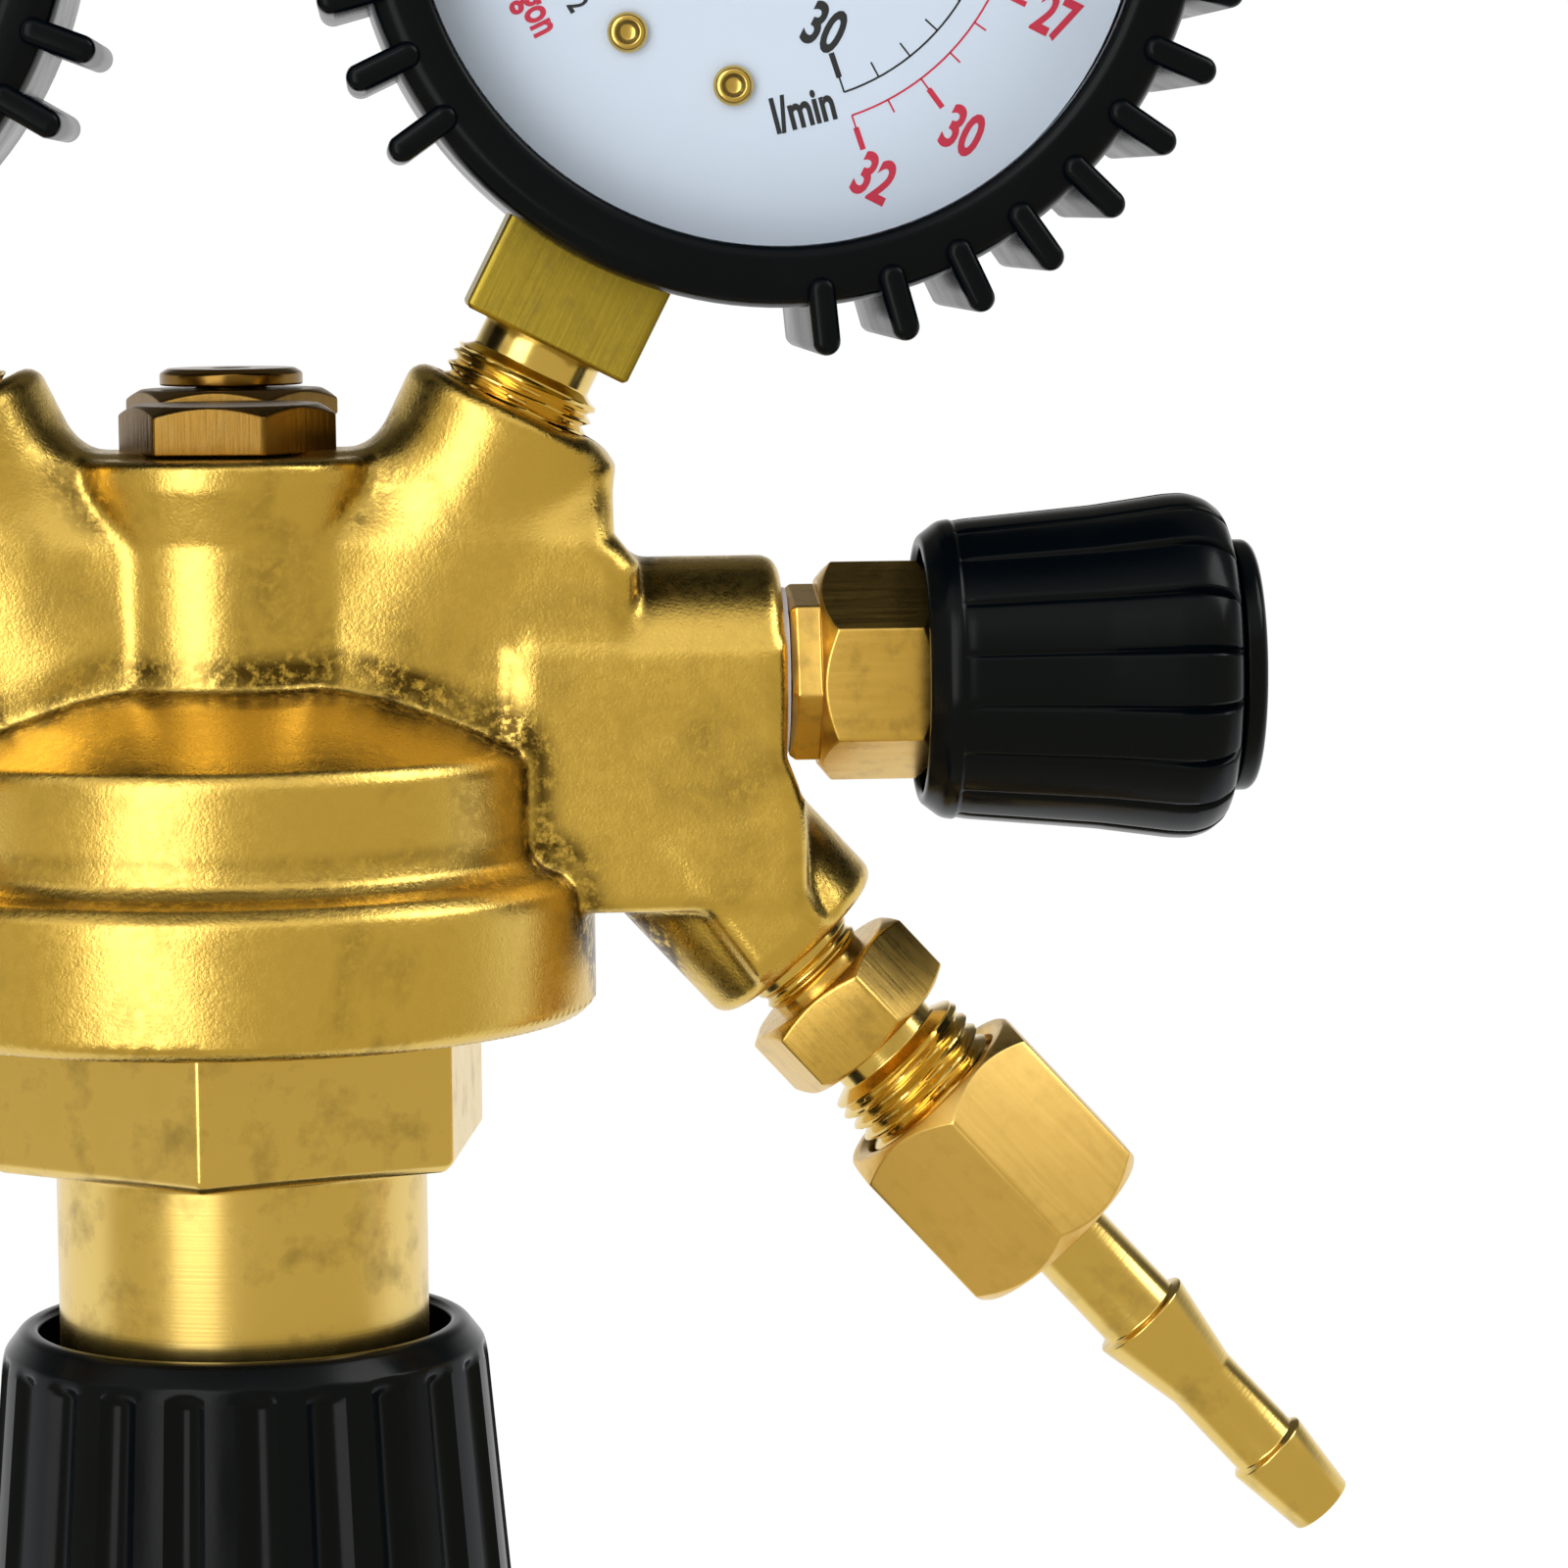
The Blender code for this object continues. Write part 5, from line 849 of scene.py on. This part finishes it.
class REGULATOR_OT_valve(Operator):
    """Needle valve's screwed bonnet on the right arm, its collar and its thin gasket"""
    bl_idname = "regulator.valve"
    bl_label = "Needle valve"

    def execute(self, context):
        """Spins the collar and hexagon, and the gasket."""
        colours = context.scene.regulator_colours
        angles = corner_angles(6, 20)
        angles = np.sort(np.concatenate([angles, (angles+math.radians(COLLAR_TURN)) % TURN]))
        collar = polygon_radius(6, 12.7, angles-math.radians(COLLAR_TURN), 0.3)
        rows = [(3.6, 34.6), (5.4, 34.6), (5.4, 44.2), (collar-0.4, 44.2), (collar, 44.7), (collar, 46.6),
                (7.4, 46.6)]+hexagon(15.4, 46.6, 55.8, angles, slope=1.2)
        rows += [(2.3, 55.8), (2.3, 38.2), (3.6, 38.2), (3.6, 34.6)]
        brass = drawn_brass("valve_brass", VALVE, colours.valve, rough=0.28, streaks=0.08)
        revolve("needle_valve_hexagon", rows, angles, 0.16, brass, ["valve_bonnet"], VALVE)
        ring = [(5.7, 43.6), (6.8, 43.6), (6.8, 44.1), (5.7, 44.1), (5.7, 43.6)]
        revolve("needle_valve_washer", ring, even_angles(72), 0.12,
                soft_white("washer_nylon", colours.nylon), ["valve_gasket"], VALVE)
        return {"FINISHED"}


class REGULATOR_OT_outlet(Operator):
    """Outlet adaptor, union nut and barbed hose tail, below the right arm"""
    bl_idname = "regulator.outlet"
    bl_label = "Outlet"

    def execute(self, context):
        """Spins the pieces along the outlet's axis: adaptor's hexagon and thread, nut and tail."""
        colours = context.scene.regulator_colours
        pitch = context.scene.regulator_sizes.thread_pitch/MM
        turned = turned_brass("outlet_turned_brass", OUTLET, colours.turned, rough=0.14, lines=0.05)
        angles = corner_angles(6, 20)
        place = OUTLET @ turn_about("Z", ADAPTOR_TURN)
        block = [(4.0, 3.1)]+hexagon(14.0, 3.1, 9.6, angles)+[(4.0, 9.6), (4.0, 3.1)]
        revolve("adaptor_hexagon", block, angles, 0.2,
                drawn_brass("adaptor_brass", place, colours.adaptor), (), place)
        round_angles = even_angles(96)
        start = section([(1.8, -7.0), (4.7, -7.0), (4.7, 1.0), (4.35, 1.3), (4.35, 1.7), (4.7, 2.0),
                         (4.35, 2.4), (4.4, 3.3), (4.4, 9.4), (4.7, 9.8), (4.7, 11.2), (5.5, 11.5)],
                        round_angles, 0.2)
        thread = thread_rows(6.4, 0.75, pitch, 11.8, 22.0, round_angles)
        end = section([(5.6, 22.3), (1.8, 22.4), (1.8, -7.0)], round_angles, 0.1)
        piece("adaptor", [spin(np.concatenate([start, thread, end]), round_angles)], turned, "regulator",
              ["outlet_adaptor"], OUTLET)
        nut = [(6.8, 27.2), (6.8, 16.2), (7.5, 15.9)]+hexagon(17.0, 15.9, 31.6, angles, slope=1.0)
        nut += [(4.3, 31.6), (3.8, 31.2), (3.8, 28.2), (6.8, 27.2)]
        brass = drawn_brass("nut_brass", OUTLET, colours.nut, rough=0.3, streaks=0.03, stain=WORN)
        revolve("union_nut", nut, angles, 0.15, brass, ["outlet_nut"], OUTLET)
        tail = [(1.8, 22.7), (5.4, 22.7), (6.0, 23.3), (6.0, 26.9), (3.5, 28.2), (3.5, 41.3), (4.3, 41.5),
                (2.95, 48.8), (2.95, 56.5), (3.5, 56.8), (2.75, 63.5), (1.8, 63.5), (1.8, 22.7)]
        revolve("barbed_tail", tail, round_angles, 0.16, turned, ["hose_tail"], OUTLET)
        return {"FINISHED"}


class REGULATOR_OT_inlet(Operator):
    """Inlet nipple in the left arm and the cylinder nut on it"""
    bl_idname = "regulator.inlet"
    bl_label = "Inlet"

    def execute(self, context):
        """Spins the nipple and the nut along the inlet's axis."""
        colours = context.scene.regulator_colours
        angles = corner_angles(6, 22)
        nipple = [(1.3, 34.6), (6.2, 34.6), (6.2, 43.9)]+hexagon(17.0, 43.9, 49.9, angles)
        nipple += [(6.6, 49.9), (6.6, 62.7), (9.8, 63.9), (9.8, 66.7), (6.6, 67.7), (6.6, 72.7), (3.0, 72.7),
                   (3.0, 65.1), (1.3, 65.1), (1.3, 34.6)]
        revolve("nipple", nipple, angles, 0.2, drawn_brass("nipple_brass", INLET, colours.valve),
                ["inlet_nipple"], INLET)
        thread = thread_rows(10.9, -0.5, 1.8, 82.6, 66.2, angles)
        start = section([(7.0, 59.5)]+hexagon(30.0, 59.5, 83.5, angles)+[(11.4, 83.5), (10.9, 82.8)],
                        angles, 0.3)
        end = section([(10.9, 65.9), (10.9, 63.6), (7.0, 62.2), (7.0, 59.5)], angles, 0.2)
        piece("cylinder_nut_hexagon", [spin(np.concatenate([start, thread, end]), angles)],
              drawn_brass("cylinder_nut_brass", INLET, colours.nut, rough=0.28, streaks=0.06), "cylinder_nut",
              ["inlet_nut"], INLET)
        return {"FINISHED"}


# Gauges

def boot_skin(angles):
    """The boot without its ribs: a cup with a rounded front rim that laps over the window."""
    return section([(25.2, -12.1), (25.2, -13.8), (32.2, -13.8), (33.0, -13.0), (33.0, 13.0), (32.6, 14.4),
                    (31.4, 15.1), (29.0, 15.1), (28.2, 14.6), (28.2, 13.0), (30.3, 13.0), (30.3, -11.8),
                    (25.5, -11.8), (25.2, -12.1)], angles, 0.45)


def rib(angle, height, steps=28):
    """One rib: a bar with round ends that stands out of the boot's side and laps over its front as a ridge.

    Its outline across the boot is two half circles joined by straight sides, from 30.7 mm out to the tip.
    """
    around = even_angles(steps)
    half = 1.1
    tip = 33.0+height
    rows = []
    for z, inset in ((-13.8, half), (-13.8, 0.35), (-13.5, 0.0), (14.9, 0.0), (15.4, 0.1), (15.7, 0.35),
                     (15.8, 0.7), (15.8, half)):
        size = half-inset
        middle = np.where(np.cos(around) > 0, tip-half, 30.7+half)
        radial = middle+size*np.cos(around)
        across = size*np.sin(around)
        rows.append(np.stack([radial*math.cos(angle)-across*math.sin(angle),
                              radial*math.sin(angle)+across*math.cos(angle), np.full(steps, z)], -1))
    return np.array(rows)


def boot_grids(sizes):
    """The boot's skin, and a rib at each station that isn't beside the stem."""
    station = np.arange(sizes.rib_count)*TURN/sizes.rib_count-TURN/4
    from_stem = np.abs((station+TURN/4+TURN/2) % TURN-TURN/2)
    angles = even_angles(144)
    clear_of_stem = station[from_stem > math.radians(28.0)]
    ribs = [rib(angle+math.radians(2.0), sizes.rib_height/MM) for angle in clear_of_stem]
    return [spin(boot_skin(angles), angles)]+ribs


def flat_strip(rows):
    """Closes rows of four corners into a thin printed band, by a point in the middle of each end."""
    ends = [np.repeat(rows[i:i+1].mean(1, keepdims=True), 4, axis=1) for i in (0, -1)]
    return np.concatenate([ends[0], rows, ends[1]])


def strip(start, end, radius, width, steps=96):
    """A printed arc as a closed thin band: four corners in each row, at both edges, above and below."""
    angle = np.linspace(math.radians(start), math.radians(end), steps)
    low, high = DIAL_FACE, DIAL_FACE+INK
    corners = [(radius-width/2, low), (radius-width/2, high), (radius+width/2, high), (radius+width/2, low)]
    return flat_strip(np.array([[(r*math.cos(a), r*math.sin(a), z) for r, z in corners] for a in angle]))


def tick(angle, inner, outer, width):
    """A printed tick along a radius, as a closed thin block."""
    a = math.radians(angle)
    along = np.array([math.cos(a), math.sin(a), 0])
    across = np.array([-math.sin(a), math.cos(a), 0])*width/2
    low = np.array([0, 0, DIAL_FACE])
    high = np.array([0, 0, DIAL_FACE+INK])
    return flat_strip(np.array([[along*r+across+low, along*r+across+high, along*r-across+high,
                                 along*r-across+low] for r in (inner, outer)]))


def printed(name, grids, place, material):
    """Joins printed marks in one piece."""
    return piece(name, grids, material, "regulator", (), place, sharp=30.0)


def lettering(name, words, place, material, height):
    """Plain numerals and units as one flat mesh: words are (text, x, y, turn in degrees, scale)."""
    mesh = bmesh.new()
    for text, x, y, turn, scale in words:
        curve = bpy.data.curves.new(name+"_text", "FONT")
        curve.body = text
        curve.size = height*scale/CAP_HEIGHT*MM
        curve.align_x = "CENTER"
        curve.align_y = "CENTER"
        curve.offset = BOLDER*scale*MM
        curve.extrude = 0.4*INK*MM
        curve.resolution_u = 4
        thing = bpy.data.objects.new(name+"_text", curve)
        bpy.context.scene.collection.objects.link(thing)
        bpy.context.view_layer.update()
        flat = bpy.data.meshes.new_from_object(thing.evaluated_get(bpy.context.evaluated_depsgraph_get()))
        bpy.data.objects.remove(thing)
        bpy.data.curves.remove(curve)
        condense = Matrix.Diagonal((CONDENSED, 1.0, 1.0, 1.0))
        flat.transform(place @ shift(x, y, DIAL_FACE+INK) @ turn_about("Z", turn) @ condense)
        mesh.from_mesh(flat)
        bpy.data.meshes.remove(flat)
    data = bpy.data.meshes.new(name)
    mesh.to_mesh(data)
    mesh.free()
    return dress(bpy.data.objects.new(name, data), material, "regulator", sharp=30.0)


def polar(radius, degrees):
    """The point at a radius and an angle."""
    return radius*math.cos(math.radians(degrees)), radius*math.sin(math.radians(degrees))


def scale_angle(value, top):
    """Degrees from +X, anticlockwise, of a value on a scale that opens out a little towards its top."""
    share = value/top
    return SCALE_START-SCALE_SWEEP*(0.9*share+0.1*share**2)


class REGULATOR_OT_gauges(Operator):
    """Both gauges: ribbed rubber boots, cases, windows, dials with their print, pointers and brass stems"""
    bl_idname = "regulator.gauges"
    bl_label = "Gauges"

    def execute(self, context):
        """Builds the two gauges from one set of functions."""
        colours = context.scene.regulator_colours
        sizes = context.scene.regulator_sizes
        rubber = moulded("boot_rubber", colours.rubber, rough=0.24, grit=0.33, depth=0.02, level=0.1)
        steel = shared("plated_steel", plated_steel, "plated_steel", colours.steel)
        black = ink("dark_ink", colours.ink)
        red = ink("red_ink", colours.red_ink)
        white = enamel(colours)
        clear = clear_window("acrylic_window")
        for key, place in GAUGES.items():
            name = key+"_gauge"
            piece(name+"_boot_skin", boot_grids(sizes), rubber, "regulator", [name+"_boot"], place,
                  sharp=38.0)
            self.round_pieces(name, place, steel, white, clear)
            self.pointer(key, name, place, black)
            self.stem(name, place, colours, sizes.thread_pitch/MM)
            self.screws(name, place, colours.adaptor)
        self.flow_print(GAUGES["flow"], black, red, sizes.text_height/MM)
        self.contents_print(GAUGES["contents"], black, red, sizes.text_height/MM)
        return {"FINISHED"}

    def round_pieces(self, name, place, steel, white, clear):
        """Case, window and dial, all round."""
        angles = even_angles(120)
        case = [(0.0, -11.5), (30.0, -11.5), (30.0, 11.5), (29.0, 11.5), (29.0, -10.5), (0.0, -10.5)]
        revolve(name+"_shell", case, angles, 0.3, steel, [name+"_case"], place)
        window = [(0.0, 11.8), (30.0, 11.8), (30.0, 12.7), (0.0, 12.7)]
        revolve(name+"_glass", window, angles, 0.1, clear, [name+"_window"], place)
        dial = [(1.4, 6.4), (28.7, 6.4), (28.7, DIAL_FACE), (1.4, DIAL_FACE), (1.4, 6.4)]
        revolve(name+"_plate", dial, angles, 0.05, white, [name+"_dial"], place)

    def pointer(self, key, name, place, material):
        """Pointer: tapered blade with a tail, hub and arbor."""
        angles = even_angles(40)
        hub = section([(0.0, -4.7), (0.8, -4.7), (0.8, 8.6), (2.4, 8.6), (2.4, 9.5), (1.9, 10.1),
                       (0.0, 10.1)], angles, 0.15)
        # The blade rests 135 degrees from the dial's upright, at the scale's start
        turn = math.radians(135.0)
        steps = np.linspace(-7.0, 21.0, 40)
        half = np.where(steps < 3, 1.1-0.02*(steps+7), 0.9-0.65*(steps-3)/18)
        blade = flat_strip(np.stack([np.stack([side*half, steps, np.full_like(steps, z)], -1)
                                     for side, z in ((-1, 8.8), (1, 8.8), (1, 9.2), (-1, 9.2))], 1))
        spun = np.array([[math.cos(turn), -math.sin(turn), 0], [math.sin(turn), math.cos(turn), 0],
                         [0, 0, 1]])
        piece(name+"_needle", [spin(hub, angles), blade @ spun.T], material, key+"_pointer",
              [name+"_pointer"], place, sharp=35.0)

    def stem(self, name, place, colours, pitch):
        """Brass stem: shank and square block, and the turned neck and thread that stand out of the block."""
        angles = corner_angles(4, 24)
        block = polygon_radius(4, 14.0, angles, 0.4)
        shank = polygon_radius(4, 12.0, angles, 0.4)
        rows = [(0.0, 9.3), (shank, 9.3), (shank, 29.3), (block-0.4, 29.3), (block, 29.7), (block, 39.9),
                (block-0.4, 40.2), (0.0, 40.2)]
        down = place @ turn_about("X", 90) @ turn_about("Z", 45)
        brass = drawn_brass(name+"_block_brass", down, colours.block, rough=0.36, streaks=0.1)
        revolve(name+"_block", rows, angles, 0.15, brass, [name+"_socket"], down)
        angles = even_angles(96)
        start = section([(0.0, 39.2), (4.95, 39.2), (4.95, 42.4), (5.5, 42.8)], angles, 0.15)
        thread = thread_rows(6.2, 0.6, pitch*0.85, 43.0, 53.0, angles)
        end = section([(5.6, 53.2), (1.0, 53.4), (0.0, 53.4)], angles, 0.1)
        bright = turned_brass(name+"_thread_brass", down, colours.turned, rough=0.12, lines=0.03)
        piece(name+"_thread", [spin(np.concatenate([start, thread, end]), angles)], bright, "regulator", (),
              down)

    def screws(self, name, place, colour):
        """Two dished screw heads below the dial's centre."""
        head = [(0.0, 3.3), (0.8, 3.3), (0.8, 7.3), (1.55, 7.3), (1.6, 7.7), (1.35, 8.1), (1.0, 8.2),
                (0.6, 7.85), (0.0, 7.75)]
        for number, x in ((1, -5.05), (2, 4.15)):
            here = place @ shift(x, -15.6)
            brass = turned_brass(f"{name}_screw_brass_{number}", here, colour, rough=0.22, lines=0.05)
            revolve(f"{name}_screw_{number}", head, even_angles(48), 0.12, brass,
                    [f"{name}_dial_screw_{number}"], here, sharp=30.0)

    def flow_print(self, place, black, red, height):
        """Flow dial in litres a minute: a dark scale to 30 for carbon dioxide, a red one to 32 for argon."""
        dark = [strip(scale_angle(30, 30), SCALE_START, 17.2, 0.16)]
        dark += [tick(scale_angle(v, 30), 15.9, 17.2, 0.14) for v in range(31)]
        dark += [tick(scale_angle(v, 30), 14.0, 16.0, 0.45) for v in range(0, 31, 5)]
        printed("flow_dark_scale", dark, place, black)
        bright = [strip(scale_angle(32, 32), SCALE_START, 19.1, 0.16)]
        bright += [tick(scale_angle(v, 32), 19.1, 20.2, 0.14) for v in range(33)]
        bold = [32, 30, 27, 24, 21, 18, 15, 12, 9, 6, 3, 0]
        bright += [tick(scale_angle(v, 32), 20.1, 21.9, 0.45) for v in bold]
        printed("flow_red_scale", bright, place, red)
        words = [(str(v), *polar(12.1, scale_angle(v, 30)), 0, 1.0) for v in (30, 25, 20, 15, 10, 5, 0)]
        words += [("l/min", *polar(17.9, -56.2), 41, 0.82), ("CO", *polar(17.6, -131), -41, 0.72),
                  ("2", *polar(18.1, -121.6), -32, 0.5)]
        lettering("flow_dark_numerals", words, place, black, height)
        words = [(str(value), *polar(24.4, scale_angle(value, 32)), 0, 1.0) for value in bold]
        words.append(("Argon", *polar(21.0, -127.5), -37.5, 0.72))
        lettering("flow_red_numerals", words, place, red, height)

    def contents_print(self, place, black, red, height):
        """Contents dial: one dark scale from 0 to 315 bar, with a red arc at its top end."""
        top = 315
        marks = (0, 50, 100, 150, 200, 250, 300)
        dark = [strip(scale_angle(top, top), SCALE_START, 22.0, 0.16)]
        dark += [tick(scale_angle(v, top), 20.6, 22.0, 0.14) for v in range(0, 316, 10)]
        dark += [tick(scale_angle(v, top), 19.4, 22.0, 0.4) for v in marks+(top,)]
        printed("contents_dark_scale", dark, place, black)
        arc = strip(scale_angle(top, top), scale_angle(200, top), 23.0, 0.9)
        printed("contents_red_arc", [arc], place, red)
        words = [("bar", 0, -8.5, 0, 1.0)]
        words += [(str(value), *polar(16.2, scale_angle(value, top)), 0, 0.9) for value in marks]
        lettering("contents_numerals", words, place, black, height)


class REGULATOR_OT_inner(Operator):
    """Inner pieces that keep their CAD shape: springs, diaphragm gear, valve seat, tubes and seals"""
    bl_idname = "regulator.inner"
    bl_label = "Inner pieces"

    def execute(self, context):
        """Gives each carried-over node the finish of its real material."""
        colours = context.scene.regulator_colours
        steel = shared("plated_steel", plated_steel, "plated_steel", colours.steel)
        brass = turned_brass("inner_turned_brass", BODY, colours.turned)
        seal = moulded("seal_nitrile_rubber", srgb("#1C1C1D"), rough=0.55, grit=0.5, depth=0.02)
        nylon = shared("washer_nylon", soft_white, "washer_nylon", colours.nylon)
        finishes = {
            "adjusting_spring": steel, "spring_button": steel, "poppet_spring": steel, "relief_spring": steel,
            "adjusting_screw": steel, "diaphragm": seal, "stem_packing": seal, "relief_disc": seal,
            "slip_ring": nylon, "seat_pad": nylon, "inlet_seal": nylon}
        for name, node in frame["nodes"].items():
            if node.hide_render:
                continue
            node.data.materials.clear()
            node.data.materials.append(finishes.get(name, brass))
        return {"FINISHED"}


class REGULATOR_OT_stage(Operator):
    """Plain pale floor, soft studio light and the camera"""
    bl_idname = "regulator.stage"
    bl_label = "Stage"

    def execute(self, context):
        """Makes the floor, world, lamps and camera."""
        scene = context.scene
        scene.view_settings.view_transform = "Standard"
        self.floor(scene)
        self.world(scene)
        self.lamp("key_left", (-0.375, -0.705, 0.17), width=0.46, height=0.98, power=4.0)
        self.lamp("side_right", (0.603, -0.106, 0.514), width=0.4, height=0.4, power=1.9)
        self.camera(scene)
        return {"FINISHED"}

    def floor(self, scene):
        """A wide floor 40 mm below the lowest piece, shaded by the object near it and plain white far off."""
        colours = scene.regulator_colours
        half, z = 6, CAD_BOX[0].z-40*MM
        data = bpy.data.meshes.new("floor")
        data.from_pydata([(-half, -half, z), (half, -half, z), (half, half, z), (-half, half, z)], [],
                         [(0, 1, 2, 3)])
        floor = bpy.data.objects.new("floor", data)
        scene.collection.objects.link(floor)
        material, tree = blank("floor_matt_paint")
        camera, glossy, shadow = (put(tree, "LightPath", output=f"Is {ray} Ray") for ray in
                                  ("Camera", "Glossy", "Shadow"))
        level = put(tree, "VectorMath", {0: place_vector(tree, BODY), 1: (1, 1, 0)}, operation="MULTIPLY")
        distance = put(tree, "VectorMath", {0: level}, "Value", operation="LENGTH")
        far = put(tree, "MapRange", {"Value": distance, "From Min": 150.0, "From Max": 330.0})
        far = put(tree, "Math", {0: far, 1: camera}, operation="MULTIPLY")
        lift = put(tree, "Math", {0: camera, 1: 0.2}, operation="MULTIPLY")
        paint = put(tree, "BsdfDiffuse", {"Color": shade(colours.floor)})
        glow = put(tree, "Emission", {"Strength": lift})
        near = put(tree, "AddShader", {0: paint, 1: glow})
        white = put(tree, "Emission", {"Strength": 1.0})
        seen = put(tree, "MixShader", {0: far, 1: near, 2: white})
        # Gloss and the lamps look through the floor, so the object isn't lit as if it stood on a white board
        passed = put(tree, "Math", {0: glossy, 1: shadow}, operation="MAXIMUM")
        gone = put(tree, "BsdfTransparent")
        surface = put(tree, "MixShader", {0: passed, 1: seen, 2: gone})
        put(tree, "OutputMaterial", {"Surface": surface})
        data.materials.append(material)

    def world(self, scene):
        """White to the camera, even light on matt surfaces; in gloss a white room behind and a warm front."""
        colours = scene.regulator_colours
        world = bpy.data.worlds.new("studio")
        world.use_nodes = True
        scene.world = world
        tree = world.node_tree
        tree.nodes.clear()
        camera, glossy = (put(tree, "LightPath", output=f"Is {ray} Ray") for ray in ("Camera", "Glossy"))
        way = put(tree, "TexCoord", output="Generated")
        back, up = (put(tree, "SeparateXYZ", {0: way}, axis) for axis in "YZ")
        # The room has a back and a front half; the front has a bright band above the eye, then the ceiling
        behind = put(tree, "MapRange", {"Value": back, "From Min": -0.1, "From Max": 0.15})
        raised = put(tree, "MapRange", {"Value": up, "From Min": 0.42, "From Max": 0.62})
        overhead = put(tree, "MapRange", {"Value": up, "From Min": 0.84, "From Max": 0.98})
        above = put(tree, "MapRange", {"Value": up, "From Min": 0.15, "From Max": 0.42})
        white, band, even = (1, 1, 1, 1), (1.05, 0.98, 0.82, 1), (0.82, 0.82, 0.82, 1)
        ceiling = shade(colours.ceiling)
        forward = put(tree, "Mix", {0: raised, 6: shade(colours.front), 7: band}, 2, data_type="RGBA")
        forward = put(tree, "Mix", {0: overhead, 6: forward, 7: ceiling}, 2, data_type="RGBA")
        backward = put(tree, "Mix", {0: above, 6: white, 7: ceiling}, 2, data_type="RGBA")
        room = put(tree, "Mix", {0: behind, 6: forward, 7: backward}, 2, data_type="RGBA")
        lit = put(tree, "Mix", {0: glossy, 6: even, 7: room}, 2, data_type="RGBA")
        seen = put(tree, "Mix", {0: camera, 6: lit, 7: white}, 2, data_type="RGBA")
        sky = put(tree, "Background", {"Color": seen, "Strength": 1.0})
        put(tree, "OutputWorld", {"Surface": sky})

    def lamp(self, name, offset, width, height, power):
        """A soft box at an offset from the body's middle, in metres, that faces it."""
        data = bpy.data.lights.new(name, "AREA")
        data.shape = "RECTANGLE"
        data.size = width
        data.size_y = height
        data.energy = power
        lamp = bpy.data.objects.new(name, data)
        bpy.context.scene.collection.objects.link(lamp)
        lamp.location = Vector(offset)+BODY.translation
        lamp.rotation_euler = (-Vector(offset)).to_track_quat("-Z", "Y").to_euler()

    def camera(self, scene):
        """The photograph's view, fitted to the object: its place in mm, its angles in degrees."""
        focal_pixels, frame_pixels = 5700, 1600
        x, y, z = 11.39, -445.0, 37.47
        yaw, pitch, roll = (math.radians(a) for a in (4.183, 5.951, 0.574))
        forward = Vector((math.sin(yaw)*math.cos(pitch), math.cos(yaw)*math.cos(pitch), -math.sin(pitch)))
        level = Vector((math.cos(yaw), -math.sin(yaw), 0))
        down = forward.cross(level)
        right = level*math.cos(roll)+down*math.sin(roll)
        under = down*math.cos(roll)-level*math.sin(roll)
        data = bpy.data.cameras.new("camera")
        data.sensor_width = 36.0
        data.lens = focal_pixels/frame_pixels*data.sensor_width
        data.clip_start = 0.01
        camera = bpy.data.objects.new("camera", data)
        scene.collection.objects.link(camera)
        turn = Matrix((right, -under, -forward)).transposed()
        camera.matrix_world = BODY @ shift(x, y, z) @ turn.to_4x4()
        scene.camera = camera


class REGULATOR_PT_panel(Panel):
    """Lists the regulator's operators, sizes and colours"""
    bl_label = "Flowmeter regulator"
    bl_space_type = "VIEW_3D"
    bl_region_type = "UI"
    bl_category = "Regulator"

    def draw(self, context):
        """Draws a button for each operator, then the values."""
        for kind in OPERATORS:
            self.layout.operator(kind.bl_idname)
        for values in (context.scene.regulator_sizes, context.scene.regulator_colours):
            for name in values.__annotations__:
                self.layout.prop(values, name)


OPERATORS = (REGULATOR_OT_stage, REGULATOR_OT_body, REGULATOR_OT_bonnet, REGULATOR_OT_plugs,
             REGULATOR_OT_knobs, REGULATOR_OT_valve, REGULATOR_OT_outlet, REGULATOR_OT_inlet,
             REGULATOR_OT_gauges, REGULATOR_OT_inner)
CLASSES = (RegulatorColours, RegulatorSizes) + OPERATORS + (REGULATOR_PT_panel,)


def register():
    """Registers the classes and hangs the values on the scene."""
    for kind in CLASSES:
        bpy.utils.register_class(kind)
    bpy.types.Scene.regulator_colours = PointerProperty(type=RegulatorColours)
    bpy.types.Scene.regulator_sizes = PointerProperty(type=RegulatorSizes)


def unregister():
    """Takes the values and classes away again."""
    del bpy.types.Scene.regulator_sizes
    del bpy.types.Scene.regulator_colours
    for kind in reversed(CLASSES):
        bpy.utils.unregister_class(kind)


def main():
    """Builds the whole scene."""
    register()
    bpy.ops.regulator.stage()
    bpy.ops.regulator.body()
    bpy.ops.regulator.bonnet()
    bpy.ops.regulator.plugs()
    bpy.ops.regulator.knobs()
    bpy.ops.regulator.valve()
    bpy.ops.regulator.outlet()
    bpy.ops.regulator.inlet()
    bpy.ops.regulator.gauges()
    bpy.ops.regulator.inner()


if __name__ == "__main__":
    main()
